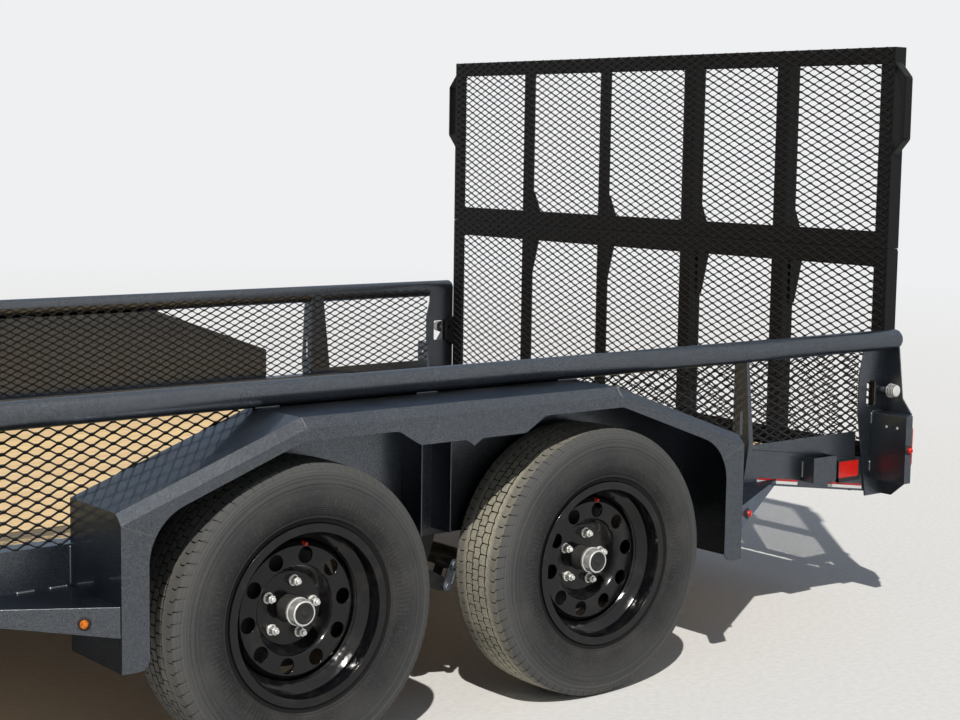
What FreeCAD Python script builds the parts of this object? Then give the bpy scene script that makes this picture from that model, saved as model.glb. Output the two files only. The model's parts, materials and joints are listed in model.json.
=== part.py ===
import FreeCAD
import Part
import math
import os

V = FreeCAD.Vector

# A tandem-axle utility trailer with mesh sides, a dovetail and a two-part rear gate.
# Millimetres. +X is forward, +Y is the trailer's left, +Z is up and the ground is Z = 0.
# Lengths along X are measured here from the rear axle. On export every piece is shifted
# so that the origin lies on the ground, under the middle of the whole trailer.

# Overall
bed_half = 1068.0            # half the width over the frame, and between the pipe rails
bed_length = 4852.0
tail_behind_fender = 836.5   # frame behind the fenders
tongue_length = 1250.0       # bed front to the nose of the coupler

# Frame
frame_top = 531.0
frame_depth = 100.0
channel_width = 56.0
channel_wall = 5.0
flange_wall = 6.0
cross_width = 76.0
cross_spacing = 610.0
cross_wall = 5.0
tail_length = 542.0          # the sloping dovetail at the rear
tail_slope = 0.145           # its drop per unit of length

# Deck
plank_thick = 38.0
plank_count = 11
plank_gap = 4.0

# Pipe rail and uprights
rail_od = 60.3
rail_past_frame = 37.0       # rear end of the rails behind the frame
rail_corner = 110.0
sheet = 3.0                  # formed sheet of uprights and plates
plate_rise = 16.0            # the dovetail's side plates, above the frame
upright_flange = 44.0
upright_flange_wide = 63.0
upright_knee = 30.0          # widest point of the flange, above the frame
upright_web_top = 53.0
upright_web_low = 95.0
upright_behind_fender = 196.0
upright_ahead_fender = 371.0
upright_from_front = 120.0
slot_height = 70.0
slot_width = 10.0
front_post_half = 25.0

# Rear posts, lamp boxes and latches
post_from_rear = 103.0       # front edge of the post's web, ahead of the frame's rear end
post_step = 15.0             # how far that edge steps back under the rail
post_step_drop = 105.0       # from the rail's axis down to the widest place
post_foot_back = 46.0
post_foot = 21.0             # below the frame at the post
post_slot_back = 35.0
post_slot_width = 41.0
post_slot_height = 75.0
post_slot_low = 622.0
ear_plate = 5.0
ear_top = 47.0               # how far the rear plate reaches out, from the frame's side
ear_waist = 69.0
ear_low = 105.0
ear_foot = 40.0
ear_waist_rise = 44.0
lamp_box_from_rear = 42.0
lamp_box_side = 29.0         # depth of its outer side, ahead of the slanted back
lamp_box_width = 132.0
lamp_box_top = 602.0
lamp_box_low = 400.0
lamp_r = 27.0
marker_r = 9.5
latch_below_rail = 153.0
latch_from_ear = 22.0
latch_r = 13.0
latch_knob_r = 18.0
latch_barrel = 30.0
latch_neck = 6.0
latch_knob = 24.0
latch_pin_r = 7.0
hinge_lug = 8.0
reflector_from_rear = 92.0
reflector_below_top = 10.0
pocket_from_rear = 242.0
pocket_length = 100.0
pocket_depth = 46.0
pocket_wall = 5.0
pocket_foot = 26.0          # above the frame's lower edge

# Fenders, symmetric about the middle between the axles
tyre_room = 11.25            # between a tyre's sides and the fender's faces
fender_room = 131.5          # from the tyres to the fender's ends
fender_flat_half = 470.0
fender_top = 791.0
fender_corner_z = 630.0
fender_bottom = 297.0
fender_chamfer = 22.0
fender_sheet = 2.7
skirt_leg = 64.0
skirt_round = 24.0
skirt_lip_z = 741.0
skirt_middle_z = 704.0
skirt_middle_half = 157.0
skirt_step_half = 219.0
tab_half = 25.0              # a shallow point in the middle of the skirt
tab_depth = 16.0
centre_post_half = 45.5
centre_post_depth = 80.0
centre_post_low = 450.0

# Fender braces
brace_z = 439.0
brace_reach = 385.0
brace_lip = 66.0
brace_lip_end = 14.0
brace_sheet = 4.0
brace_inset = 4.0            # inside the fender's outer face
marker_from_fender = 63.0

# Wheels and tyres
axle_z = 344.0
tyre_r = 344.0
tyre_width = 205.0
tread_half = 76.0
rim_flange_r = 207.5
rim_flange_half = 92.0
bead_r = 192.0
rim_well_r = 166.0
rim_wall = 4.0
lug_count = 5
lug_circle_r = 63.5
lug_turn = 29.0              # degrees from straight ahead to the first nut
lug_nut_r = 11.0
lug_room = 0.5
lug_nut_out = 20.0
stud_r = 6.0
stud_out = 28.0
vent_count = 10
vent_circle_r = 127.0
vent_r = 18.5

# Axles and springs
spindle_r = 17.0
bearing_gap = 0.3
beam_r = 30.0
beam_drop = 101.6
spring_half = 320.0
spring_width = 44.0
leaf_thick = 7.0
leaf_count = 4
spring_sag = 44.0
drum_r = 136.0
equalizer_span = 243.0       # between the spring eyes that it joins
equalizer_drop = 95.0        # its pin, below the frame
shackle_length = 57.0
shackle_lean = 20.0
shackle_half = 13.0

# Gate
gate_room = 8.0              # side clearance of the gate inside the rails
gate_behind_frame = 19.0     # front face of the gate's angles, behind the frame
gate_below_sill = 8.4
angle_leg = 50.8
angle_wall = 5.0
lower_height = 641.0
upper_height = 601.0
gate_gap = 6.0               # between the two panels
gate_bays = 5
hinge_pin_r = 9.0
pin_gap = 0.3
fold_reach = 30.0            # fold pin behind the rear edge of the panels
fold_tip_r = 14.0
fold_pin_r = 8.0
gusset_plate = 6.0
gusset_upper = 118.0
gusset_lower = 190.0
handle_below_top = 44.0
handle_height = 276.0
handle_reach = 42.0
handle_slant = 46.0         # height of each sloping end
handle_inset = 1.0
handle_bar = 6.0
handle_width = 32.0

# Expanded mesh, drawn here with coarse openings
mesh_thick = 3.0
mesh_long = 203.2            # diamond pitch along the long way
mesh_short = 93.6            # diamond pitch along the short way
mesh_strand = 13.0

# Coupler and jack
coupler_plate = 4.0
ball_socket_r = 26.0
ball_socket_depth = 46.0
socket_wall = 14.0
socket_from_nose = 42.0
jack_from_nose = 320.0
jack_tube_r = 28.5
jack_leg_r = 24.0
jack_tube_low = 265.0        # clear of the foot when the leg is up
jack_tube_length = 590.0
jack_foot = 90.0
jack_foot_plate = 5.0
jack_stroke = 254.0
jack_base_half = 70.0
jack_base_width = 260.0
crank_arm = 130.0
crank_grip = 75.0
lever_length = 130.0

# Worked out from the values above
axle_spacing = 2 * spring_half + equalizer_span
fender_half = axle_spacing / 2 + tyre_r + fender_room
overall_half = bed_half + tyre_width + 2 * tyre_room
tyre_middle = (bed_half + overall_half) / 2
middle_x = axle_spacing / 2
frame_rear = middle_x - fender_half - tail_behind_fender
bed_front = frame_rear + bed_length
spring_y = bed_half - channel_width / 2
frame_bottom = frame_top - frame_depth
tail_start = frame_rear + tail_length
sill_top = frame_top - tail_length * tail_slope
deck_top = frame_top - flange_wall - 0.5
deck_bottom = deck_top - plank_thick
rail_y = bed_half + rail_od / 2
rail_z = fender_top + rail_od / 2
rail_rear = frame_rear - rail_past_frame
rail_front = bed_front + rail_od / 2
rail_bend_x = rail_front - rail_corner
rail_bend_y = rail_y - rail_corner
upright_rear = middle_x - fender_half - upright_behind_fender
upright_first = middle_x + fender_half + upright_ahead_fender
upright_last = bed_front - upright_from_front
upright_places = (upright_rear, upright_first, (upright_first + upright_last) / 2, upright_last)
post_front = frame_rear + post_from_rear
lamp_box_front = frame_rear + lamp_box_from_rear
gate_half = bed_half - gate_room
gate_front = frame_rear - gate_behind_frame
gate_rear = gate_front - angle_leg
gate_bottom = sill_top - gate_below_sill
gate_seam = gate_bottom + lower_height + gate_gap / 2
gate_top = gate_seam + gate_gap / 2 + upper_height
gate_hinge_x = gate_front - angle_leg / 2
gate_hinge_z = gate_bottom + angle_leg / 2
fold_x = gate_rear - fold_reach
ear_x = gate_front
latch_x = ear_x + latch_from_ear
latch_z = rail_z - latch_below_rail
nose_x = bed_front + tongue_length
jack_x = nose_x - jack_from_nose
shift_x = -(nose_x + fold_x - fold_tip_r) / 2


def tail_drop(x):
    """How far the dovetail has dropped at x."""
    return max(0.0, tail_start - x) * tail_slope


# Small builders
def spot(axis, along, u, v):
    """A point from an outline's u and v, at one place along the axis it is extruded on."""
    if axis == "x":
        return V(along, u, v)
    if axis == "y":
        return V(u, along, v)
    return V(u, v, along)


def outline(points, axis, along):
    """A closed wire through (u, v) corners; a third number rounds its corner."""
    corners = [(p[0], p[1], p[2] if len(p) > 2 else 0.0) for p in points]
    starts, ends, arcs = [], [], []
    for i, (u, v, r) in enumerate(corners):
        if not r:
            starts.append((u, v))
            ends.append((u, v))
            arcs.append(None)
            continue
        pu, pv, _ = corners[i - 1]
        nu, nv, _ = corners[(i + 1) % len(corners)]
        a = math.hypot(pu - u, pv - v)
        b = math.hypot(nu - u, nv - v)
        ax, ay = (pu - u) / a, (pv - v) / a
        bx, by = (nu - u) / b, (nv - v) / b
        half = math.acos(max(-1.0, min(1.0, ax * bx + ay * by))) / 2
        t = r / math.tan(half)
        cx, cy = ax + bx, ay + by
        size = math.hypot(cx, cy)
        to_mid = r / math.sin(half) - r
        starts.append((u + ax * t, v + ay * t))
        ends.append((u + bx * t, v + by * t))
        arcs.append((u + cx / size * to_mid, v + cy / size * to_mid))
    edges = []
    for i in range(len(corners)):
        if arcs[i]:
            edges.append(Part.Arc(spot(axis, along, *starts[i]), spot(axis, along, *arcs[i]),
                                  spot(axis, along, *ends[i])).toShape())
        a = spot(axis, along, *ends[i])
        b = spot(axis, along, *starts[(i + 1) % len(corners)])
        if (a - b).Length > 1e-6:
            edges.append(Part.makeLine(a, b))
    return Part.Wire(edges)


def plate(points, axis, lo, hi):
    """An outline extruded along an axis from lo to hi."""
    step = spot(axis, hi - lo, 0, 0)
    return Part.Face(outline(points, axis, lo)).extrude(step)


def box(x, y, z):
    """A block between the two ends of each of three ranges."""
    lo = V(min(x), min(y), min(z))
    return Part.makeBox(abs(x[1] - x[0]), abs(y[1] - y[0]), abs(z[1] - z[0]), lo)


def rod(start, end, r):
    way = end - start
    return Part.makeCylinder(r, way.Length, start, way)


def turned(points, centre, way=V(0, 1, 0)):
    """A ring from (along, radius) corners, turned about an axis that runs along Y."""
    corners = [V(0, p[0], p[1]) for p in points]
    wire = Part.makePolygon(corners + corners[:1])
    ring = Part.Face(wire).revolve(V(0, 0, 0), V(0, 1, 0), 360)
    if way.y < 0:
        ring = ring.mirror(V(0, 0, 0), V(0, 1, 0))
    ring.translate(centre)
    return ring


def both_sides(shape):
    return [shape, shape.mirror(V(0, 0, 0), V(0, 1, 0))]


def mirrored(shape, side):
    return shape if side > 0 else shape.mirror(V(0, 0, 0), V(0, 1, 0))


def fused(shapes):
    whole = shapes[0].multiFuse(shapes[1:]) if len(shapes) > 1 else shapes[0]
    return whole.removeSplitter()


nodes = {}


def keep(name, shapes):
    """Put a node's solids away under its name."""
    shapes = shapes if isinstance(shapes, list) else [shapes]
    solids = [s for shape in shapes for s in shape.Solids]
    nodes[name] = Part.makeCompound(solids) if len(solids) > 1 else solids[0]


# Frame
def side_member():
    """A channel with its back outwards, bent down at the dovetail."""
    def elevation(inset):
        drop = tail_drop(frame_rear)
        top, low = frame_top - inset, frame_bottom + inset
        return [(bed_front, low), (bed_front, top), (tail_start, top),
                (frame_rear, top - drop), (frame_rear, low - drop), (tail_start, low)]
    outer = plate(elevation(0), "y", bed_half - channel_width, bed_half)
    inner = plate(elevation(flange_wall), "y", bed_half - channel_width, bed_half - channel_wall)
    return outer.cut(inner)


def angle_across(x):
    """An angle under the boards from one side member to the other."""
    far, back = x + cross_width, x + cross_wall
    foot = frame_bottom + flange_wall
    points = [(x, deck_bottom - tail_drop(x)), (far, deck_bottom - tail_drop(far)),
              (far, deck_bottom - cross_wall - tail_drop(far)),
              (back, deck_bottom - cross_wall - tail_drop(back)),
              (back, foot - tail_drop(back)), (x, foot - tail_drop(x))]
    half = bed_half - channel_wall
    return plate(points, "y", -half, half)


def build_frame():
    keep("frame_side_members", both_sides(side_member()))
    crosses = [angle_across(bed_front - channel_width - cross_width),
               angle_across(frame_rear + channel_width)]
    x = bed_front - cross_spacing
    while x > frame_rear + cross_spacing / 2:
        crosses.append(angle_across(x))
        x -= cross_spacing
    keep("deck_cross_members", crosses)
    reach = bed_half - channel_width
    channel = [(bed_front - channel_width, frame_bottom), (bed_front, frame_bottom),
               (bed_front, frame_top), (bed_front - channel_width, frame_top),
               (bed_front - channel_width, frame_top - flange_wall),
               (bed_front - channel_wall, frame_top - flange_wall),
               (bed_front - channel_wall, frame_bottom + flange_wall),
               (bed_front - channel_width, frame_bottom + flange_wall)]
    front_channel = plate(channel, "y", -reach, reach)
    drop = tail_drop(frame_rear)
    low, top = frame_bottom - drop, frame_top - drop
    back = frame_rear
    sill = [(back, low), (back + channel_width, low), (back + channel_width, low + flange_wall),
            (back + channel_wall, low + flange_wall), (back + channel_wall, top - flange_wall),
            (back + channel_width, top - flange_wall), (back + channel_width, top), (back, top)]
    keep("end_channels", [front_channel, plate(sill, "y", -reach, reach)])


def build_deck():
    half = bed_half - channel_wall
    pitch = (2 * half + plank_gap) / plank_count
    front = bed_front - channel_width
    rear = frame_rear + channel_width
    boards, tail = [], []
    for i in range(plank_count):
        lo = -half + i * pitch
        hi = lo + pitch - plank_gap
        boards.append(box((tail_start + 2, front), (lo, hi), (deck_bottom, deck_top)))
        slope = [(tail_start - 2, deck_bottom), (tail_start - 2, deck_top),
                 (rear, deck_top - tail_drop(rear)), (rear, deck_bottom - tail_drop(rear))]
        tail.append(plate(slope, "y", lo, hi))
    keep("deck_boards", boards)
    keep("dovetail_boards", tail)


# Tongue, coupler and jack
def build_tongue():
    root_y, nose_y = 560.0, 62.0
    nose_back = nose_x - 150.0
    wide = channel_width

    def leg(inset_y, inset_z):
        points = [(bed_front, root_y - inset_y), (bed_front, root_y - wide),
                  (nose_back, nose_y - wide), (nose_back, nose_y - inset_y)]
        return plate(points, "z", frame_bottom + inset_z, frame_top - inset_z)
    beam = leg(0, 0).cut(leg(channel_wall, flange_wall))
    keep("tongue_beams", both_sides(beam))
    # Coupler: a pressed cover over the nose of the tongue, with a socket for the ball
    cover = [(nose_back - 60, nose_y + 22), (nose_back, nose_y + 3, 20), (nose_x - 60, 50, 30),
             (nose_x, 30, 25), (nose_x, -30, 25), (nose_x - 60, -50, 30),
             (nose_back, -nose_y - 3, 20), (nose_back - 60, -nose_y - 22)]
    top = frame_top + coupler_plate
    body = plate(cover, "z", frame_top, top)
    ball_x = nose_x - socket_from_nose
    low = top - ball_socket_depth - 16
    socket = Part.makeCylinder(ball_socket_r + socket_wall, top - low, V(ball_x, 0, low))
    socket = socket.cut(Part.makeCylinder(ball_socket_r, ball_socket_depth, V(ball_x, 0, low)))
    latch = box((nose_x - 130, nose_x - 60), (-9, 9), (top, top + 30))
    x1 = nose_x - 60
    x0 = x1 - lever_length
    lever = plate([(x0, top + 22), (x1, top + 22), (x1, top + 34, 4), (x0, top + 34, 4)],
                  "y", -14, 14)
    keep("coupler", fused([body, socket, latch, lever]))
    wide = jack_base_width / 2
    base = box((jack_x - jack_base_half, jack_x + jack_base_half), (-wide, wide),
               (frame_top, frame_top + 8))
    tube = Part.makeCylinder(jack_tube_r, jack_tube_length, V(jack_x, 0, jack_tube_low))
    bore = Part.makeCylinder(jack_leg_r + pin_gap, jack_tube_length - 60, V(jack_x, 0, jack_tube_low))
    head_low = jack_tube_low + jack_tube_length
    head = Part.makeCylinder(jack_tube_r + 6, 40, V(jack_x, 0, head_low))
    keep("jack_body", fused([base, tube, head]).cut(bore))
    crank_z = head_low + 70
    crank = rod(V(jack_x, 0, head_low + 40), V(jack_x, 0, crank_z), 8)
    end = jack_x - crank_arm
    arm = rod(V(jack_x, 0, crank_z), V(end, 0, crank_z), 7)
    grip = rod(V(end, 0, crank_z), V(end, 0, crank_z + crank_grip), 11)
    keep("jack_crank", fused([crank, arm, grip]))
    leg_top = jack_tube_low + jack_stroke + 10
    foot_top = jack_foot_plate
    post = Part.makeCylinder(jack_leg_r, leg_top - foot_top, V(jack_x, 0, foot_top))
    foot = box((jack_x - jack_foot, jack_x + jack_foot), (-jack_foot, jack_foot), (0, foot_top))
    keep("jack_leg", fused([post, foot]))


# Pipe rail
def build_rails():
    r = rail_od / 2
    cap = r * 0.6
    side = rod(V(rail_rear + cap, rail_y, rail_z), V(rail_bend_x, rail_y, rail_z), r)
    dome = Part.makeSphere(r, V(0, 0, 0))
    squeeze = FreeCAD.Matrix()
    squeeze.scale(V(cap / r, 1, 1))
    dome = dome.transformGeometry(squeeze)
    dome.translate(V(rail_rear + cap, rail_y, rail_z))
    side = side.fuse(dome)
    keep("left_top_rail", side)
    keep("right_top_rail", side.mirror(V(0, 0, 0), V(0, 1, 0)))
    path = [rod(V(rail_front, -rail_bend_y, rail_z), V(rail_front, rail_bend_y, rail_z), r)]
    bend = Part.makeTorus(rail_corner, r, V(0, 0, 0), V(0, 0, 1), -180, 180, 90)
    bend.translate(V(rail_bend_x, rail_bend_y, rail_z))
    path += both_sides(bend)
    keep("front_top_rail", fused(path))


def rail_core():
    """The left rail's full round, to cope what meets it from below."""
    return rod(V(rail_rear, rail_y, rail_z), V(bed_front, rail_y, rail_z), rail_od / 2)


# Uprights
def upright(x):
    """A folded sheet: a flange that faces forward, with a slot, and a web on the frame."""
    y = bed_half
    knee = frame_top + upright_knee
    low = brace_z
    flange = [(y, low), (y + upright_flange, low), (y + upright_flange_wide, knee),
              (y + upright_flange, rail_z), (y, rail_z)]
    face = plate(flange, "x", x - sheet, x)
    mid = y + upright_flange_wide / 2
    slot = [(mid - slot_width / 2, knee + 25, slot_width / 2.01),
            (mid + slot_width / 2, knee + 25, slot_width / 2.01),
            (mid + slot_width / 2, knee + 25 + slot_height, slot_width / 2.01),
            (mid - slot_width / 2, knee + 25 + slot_height, slot_width / 2.01)]
    face = face.cut(plate(slot, "x", x - 2 * sheet, x + sheet))
    web = [(x, low), (x, rail_z), (x - upright_web_top, rail_z), (x - upright_web_low, low)]
    folded = face.fuse(plate(web, "y", y, y + sheet)).removeSplitter()
    return folded.cut(rail_core())


def build_uprights():
    places = []
    for x in upright_places:
        places += both_sides(upright(x))
    for y in (-bed_half / 3, bed_half / 3):
        post = box((bed_front, bed_front + 2 * sheet), (y - front_post_half, y + front_post_half),
                   (frame_bottom + 20, rail_z))
        cross = rod(V(rail_front, y - 30, rail_z), V(rail_front, y + 30, rail_z), rail_od / 2)
        places.append(post.cut(cross))
    keep("uprights", places)


# Rear posts with their ears, lamp boxes and lamps
def rear_post():
    """A slotted web on the frame's side and a wide ear across its rear edge."""
    y = bed_half
    top = post_front - post_step
    foot = frame_bottom - tail_drop(post_front) - post_foot
    web = [(ear_x, foot), (post_front - post_foot_back, foot),
           (post_front, lamp_box_top), (post_front, rail_z - post_step_drop),
           (top, rail_z - post_step_drop + 4 * post_step), (top, rail_z), (ear_x, rail_z)]
    side = plate(web, "y", y, y + ear_plate)
    x0 = post_front - post_slot_back
    x1 = x0 - post_slot_width
    z1 = post_slot_low + post_slot_height
    slot = [(x0, post_slot_low, 5), (x0, z1, 5), (x1, z1, 5), (x1, post_slot_low, 5)]
    side = side.cut(plate(slot, "y", y - 1, y + ear_plate + 1))
    ear = [(y, foot), (y + ear_foot, foot), (y + ear_low, lamp_box_low),
           (y + ear_low, lamp_box_top), (y + ear_waist, lamp_box_top + ear_waist_rise),
           (y + ear_top, rail_z), (y, rail_z)]
    back = plate(ear, "x", ear_x - ear_plate, ear_x)
    # Lug that carries the gate's hinge pin
    end = gate_hinge_x - 22
    lug = [(ear_x, gate_hinge_z + 26), (end, gate_hinge_z + 26, 20),
           (end, gate_hinge_z - 26, 20), (ear_x, gate_hinge_z - 26)]
    lug = plate(lug, "y", y, y + hinge_lug)
    hole = rod(V(gate_hinge_x, y - 1, gate_hinge_z), V(gate_hinge_x, y + hinge_lug + 1, gate_hinge_z),
               hinge_pin_r + pin_gap)
    return fused([side, back, lug]).cut(hole).cut(rail_core())


def lamp_box():
    """A box over the back of the lamp, its rear edge slanting in to the ear."""
    y0 = bed_half + ear_plate
    y1 = y0 + lamp_box_width

    def shape(inset, rear, z0, z1):
        front = lamp_box_front - inset
        side = y1 - inset
        back = lamp_box_front - lamp_box_side + inset * math.tan(math.pi / 8)
        points = [(rear, y0 + inset), (front, y0 + inset), (front, side), (back, side),
                  (rear, side - (back - rear))]
        return plate(points, "z", z0, z1)
    whole = shape(0, ear_x, lamp_box_low, lamp_box_top)
    return whole.cut(shape(sheet, ear_x - 1, lamp_box_low + sheet, lamp_box_top - sheet))


def latch():
    """A spring plunger: barrel, neck and knob, drawn back clear of the gate."""
    start = V(latch_x, bed_half + ear_plate, latch_z)
    parts = []
    for length, r in ((latch_barrel, latch_r), (latch_neck, latch_pin_r), (latch_knob, latch_knob_r)):
        end = start + V(0, length, 0)
        parts.append(rod(start, end, r))
        start = end
    return fused(parts)


def build_rear_corners():
    keep("rear_posts", both_sides(rear_post()))
    keep("lamp_boxes", both_sides(lamp_box()))
    keep("gate_latches", both_sides(latch()))
    y0 = bed_half + ear_plate + lamp_box_width / 2
    mid = (lamp_box_low + lamp_box_top) / 2
    wide = lamp_r + 1
    tall = (lamp_box_top - lamp_box_low) / 2 - lamp_r
    lamp = [(y0 - wide, mid - tall, lamp_r), (y0 + wide, mid - tall, lamp_r),
            (y0 + wide, mid + tall, lamp_r), (y0 - wide, mid + tall, lamp_r)]
    lens = plate(lamp, "x", ear_x - ear_plate - 16, ear_x - ear_plate)
    keep("tail_lamps", both_sides(lens))


def build_markers():
    red, amber = [], []
    side = bed_half + ear_plate + lamp_box_width
    x, z = lamp_box_front - lamp_box_side / 2, (lamp_box_low + lamp_box_top) / 2
    red += both_sides(rod(V(x, side, z), V(x, side + 12, z), marker_r))
    brace_tip = overall_half - brace_inset
    angle = math.atan2(brace_tip - bed_half, brace_reach)
    for end in (1, -1):
        x = middle_x + end * (fender_half + marker_from_fender)
        y = brace_tip - marker_from_fender * math.tan(angle)
        way = V(end * math.sin(angle), math.cos(angle), 0)
        start = V(x, y, brace_z - brace_lip / 2)
        lamps = both_sides(rod(start, start + way * 11, marker_r))
        if end > 0:
            amber += lamps
        else:
            red += lamps
    keep("amber_marker_lamps", amber)
    keep("red_marker_lamps", red)
    x0 = frame_rear + reflector_from_rear
    top = frame_top - tail_drop(x0 + 45) - reflector_below_top
    pad = box((x0, x0 + 90), (bed_half, bed_half + 4), (top - 62, top))
    keep("red_side_reflectors", both_sides(pad))


# Filler plates over the dovetail
def build_fillers():
    top = frame_top + plate_rise
    points = [(upright_places[0] - sheet, frame_top), (upright_places[0] - sheet, top),
              (post_front, top), (post_front, frame_top - tail_drop(post_front)),
              (tail_start, frame_top)]
    filler = plate(points, "y", bed_half - 6, bed_half - 2)
    keep("dovetail_side_plates", both_sides(filler))
    x0 = frame_rear + pocket_from_rear
    drop = tail_drop(x0 + pocket_length / 2)
    height = (frame_bottom - drop + pocket_foot, frame_top - drop - 1)
    pocket = box((x0, x0 + pocket_length), (bed_half, bed_half + pocket_depth), height)
    room = box((x0 + pocket_wall, x0 + pocket_length - pocket_wall),
               (bed_half - 1, bed_half + pocket_depth - pocket_wall), (height[0] - 1, height[1] + 1))
    pocket = pocket.cut(room)
    keep("stake_pockets", both_sides(pocket))


# Fenders
def fender():
    a, b = fender_half, fender_flat_half
    rise = (fender_top - fender_corner_z) / (a - b)
    lean = math.atan(rise)

    def shell(inset, y0, y1, low):
        """The folded outside, drawn in by inset all over."""
        drop = inset / math.cos(lean)
        flat = b - inset * math.tan(lean / 2)
        side = a - inset
        corner = fender_top - drop - rise * (side - b)
        top = fender_top - inset
        points = [(-side, low), (-side, corner), (-flat, top), (flat, top), (side, corner),
                  (side, low)]
        points = [(middle_x + u, v) for u, v in points]
        body = plate(points, "y", y0, y1)
        edges = [e for e in body.Edges
                 if all(abs(p.Point.y - y1) < 1e-6 and p.Point.z > low + 1 for p in e.Vertexes)]
        size = fender_chamfer - inset * (2 - math.sqrt(2))
        return body.makeChamfer(size, edges)
    outer = shell(0, bed_half, overall_half, fender_bottom)
    inner = shell(fender_sheet, bed_half + fender_sheet, overall_half - fender_sheet,
                  fender_bottom - 50)
    body = outer.cut(inner)
    # The skirt is open over both wheels and dips between them
    leg = a - skirt_leg
    foot = fender_bottom - 20
    slope_z = skirt_lip_z - rise * (leg - b)
    half = [(leg, foot), (leg, slope_z, 128), (b + 5, skirt_lip_z, 30),
            (skirt_step_half, skirt_lip_z, 30), (skirt_middle_half, skirt_middle_z, 30),
            (tab_half, skirt_middle_z)]
    tip = [(0, skirt_middle_z - tab_depth)]
    points = half + tip + [(-p[0],) + p[1:] for p in reversed(half)]
    points = [(middle_x + p[0],) + p[1:] for p in points]
    body = body.cut(plate(points, "y", overall_half - fender_sheet - 1, overall_half + 1))
    corners = [e for e in body.Edges
               if all(abs(p.Z - fender_bottom) < 1e-6 and abs(abs(p.X - middle_x) - leg) < 1e-6
                      for p in e.Vertexes)]
    body = body.makeFillet(skirt_round, corners)
    low_wall = box((middle_x - a + fender_sheet, middle_x + a - fender_sheet),
                   (bed_half - 1, bed_half + fender_sheet + 1), (fender_bottom - 60, frame_bottom))
    return body.cut(low_wall)


def brace(end):
    """A level plate from the fender's end corner to the frame, with a turned-down lip."""
    x0 = middle_x + end * fender_half
    x1 = x0 + end * brace_reach
    y1 = overall_half - brace_inset
    top = plate([(x0, bed_half), (x0, y1), (x1, bed_half)], "z", brace_z - brace_sheet, brace_z)
    run = V(x1 - x0, bed_half - y1, 0)
    inward = V(-run.y, run.x, 0)
    inward.normalize()
    if inward.y > 0:
        inward = inward * -1
    p, q = V(x0, y1, brace_z), V(x1, bed_half, brace_z)
    wire = Part.makePolygon([p, q, q - V(0, 0, brace_lip_end), p - V(0, 0, brace_lip), p])
    lip = Part.Face(wire).extrude(inward * brace_sheet)
    tidy = box((x0, x1), (bed_half, y1), (brace_z - 100, brace_z))
    return top.fuse(lip.common(tidy)).removeSplitter()


def centre_post():
    """A channel on the fender's inner wall, between the wheels, open outwards."""
    y0 = bed_half + fender_sheet
    y1 = y0 + centre_post_depth
    x0, x1 = middle_x - centre_post_half, middle_x + centre_post_half
    top = fender_top - fender_sheet
    whole = box((x0, x1), (y0, y1), (centre_post_low, top))
    room = box((x0 + sheet, x1 - sheet), (y0 + sheet, y1 + 1), (centre_post_low - 1, top + 1))
    return whole.cut(room)


def build_fenders():
    keep("left_fender", fender())
    keep("right_fender", fender().mirror(V(0, 0, 0), V(0, 1, 0)))
    keep("fender_centre_posts", both_sides(centre_post()))
    keep("fender_braces", both_sides(brace(1)) + both_sides(brace(-1)))


# Mesh
def mesh_sheet(axis, along, thick, u_range, v_range, margin=6.0):
    """A thin sheet with rows of diamond openings, drawn as one face and extruded."""
    u0, u1 = u_range
    v0, v1 = v_range
    across = max(1, round((u1 - u0 - 2 * margin) / mesh_long))
    rows = max(1, round((v1 - v0 - 2 * margin) / (mesh_short / 2)) - 1)
    pitch_u = (u1 - u0 - 2 * margin) / across
    pitch_v = (v1 - v0 - 2 * margin) / (rows + 1) * 2
    half_u = (pitch_u - mesh_strand * 2.2) / 2
    half_v = half_u * pitch_v / pitch_u
    wires = [outline([(u0, v0), (u1, v0), (u1, v1), (u0, v1)], axis, along)]
    for row in range(rows):
        v = v0 + margin + (row + 1) * pitch_v / 2
        count = across if row % 2 == 0 else across - 1
        start = u0 + margin + (0.5 if row % 2 == 0 else 1.0) * pitch_u
        for i in range(count):
            u = start + i * pitch_u
            hole = [(u - half_u, v), (u, v - half_v), (u + half_u, v), (u, v + half_v)]
            wires.append(outline(hole, axis, along))
    face = Part.Face(wires[0])
    holes = [Part.Face(w) for w in wires[1:]]
    face = face.cut(Part.makeCompound(holes))
    return face.extrude(spot(axis, thick, 0, 0))


def build_side_mesh():
    y = bed_half - mesh_thick
    low, top = frame_top, rail_z
    rear = (post_front, upright_places[0] - sheet)
    runs = [rear, (upright_places[0], middle_x), (middle_x, upright_places[2]),
            (upright_places[2], rail_bend_x)]
    left, right = [], []
    for i, run in enumerate(runs):
        v0 = frame_top + plate_rise if i == 0 else low
        sheet_left = mesh_sheet("y", y, mesh_thick, (run[0] + 1, run[1] - 1), (v0, top))
        left.append(sheet_left)
        right.append(sheet_left.mirror(V(0, 0, 0), V(0, 1, 0)))
    keep("left_side_mesh", left)
    keep("right_side_mesh", right)
    front = mesh_sheet("x", bed_front - mesh_thick, mesh_thick, (-rail_bend_y, rail_bend_y),
                       (frame_top, rail_z))
    keep("front_mesh", front)


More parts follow.
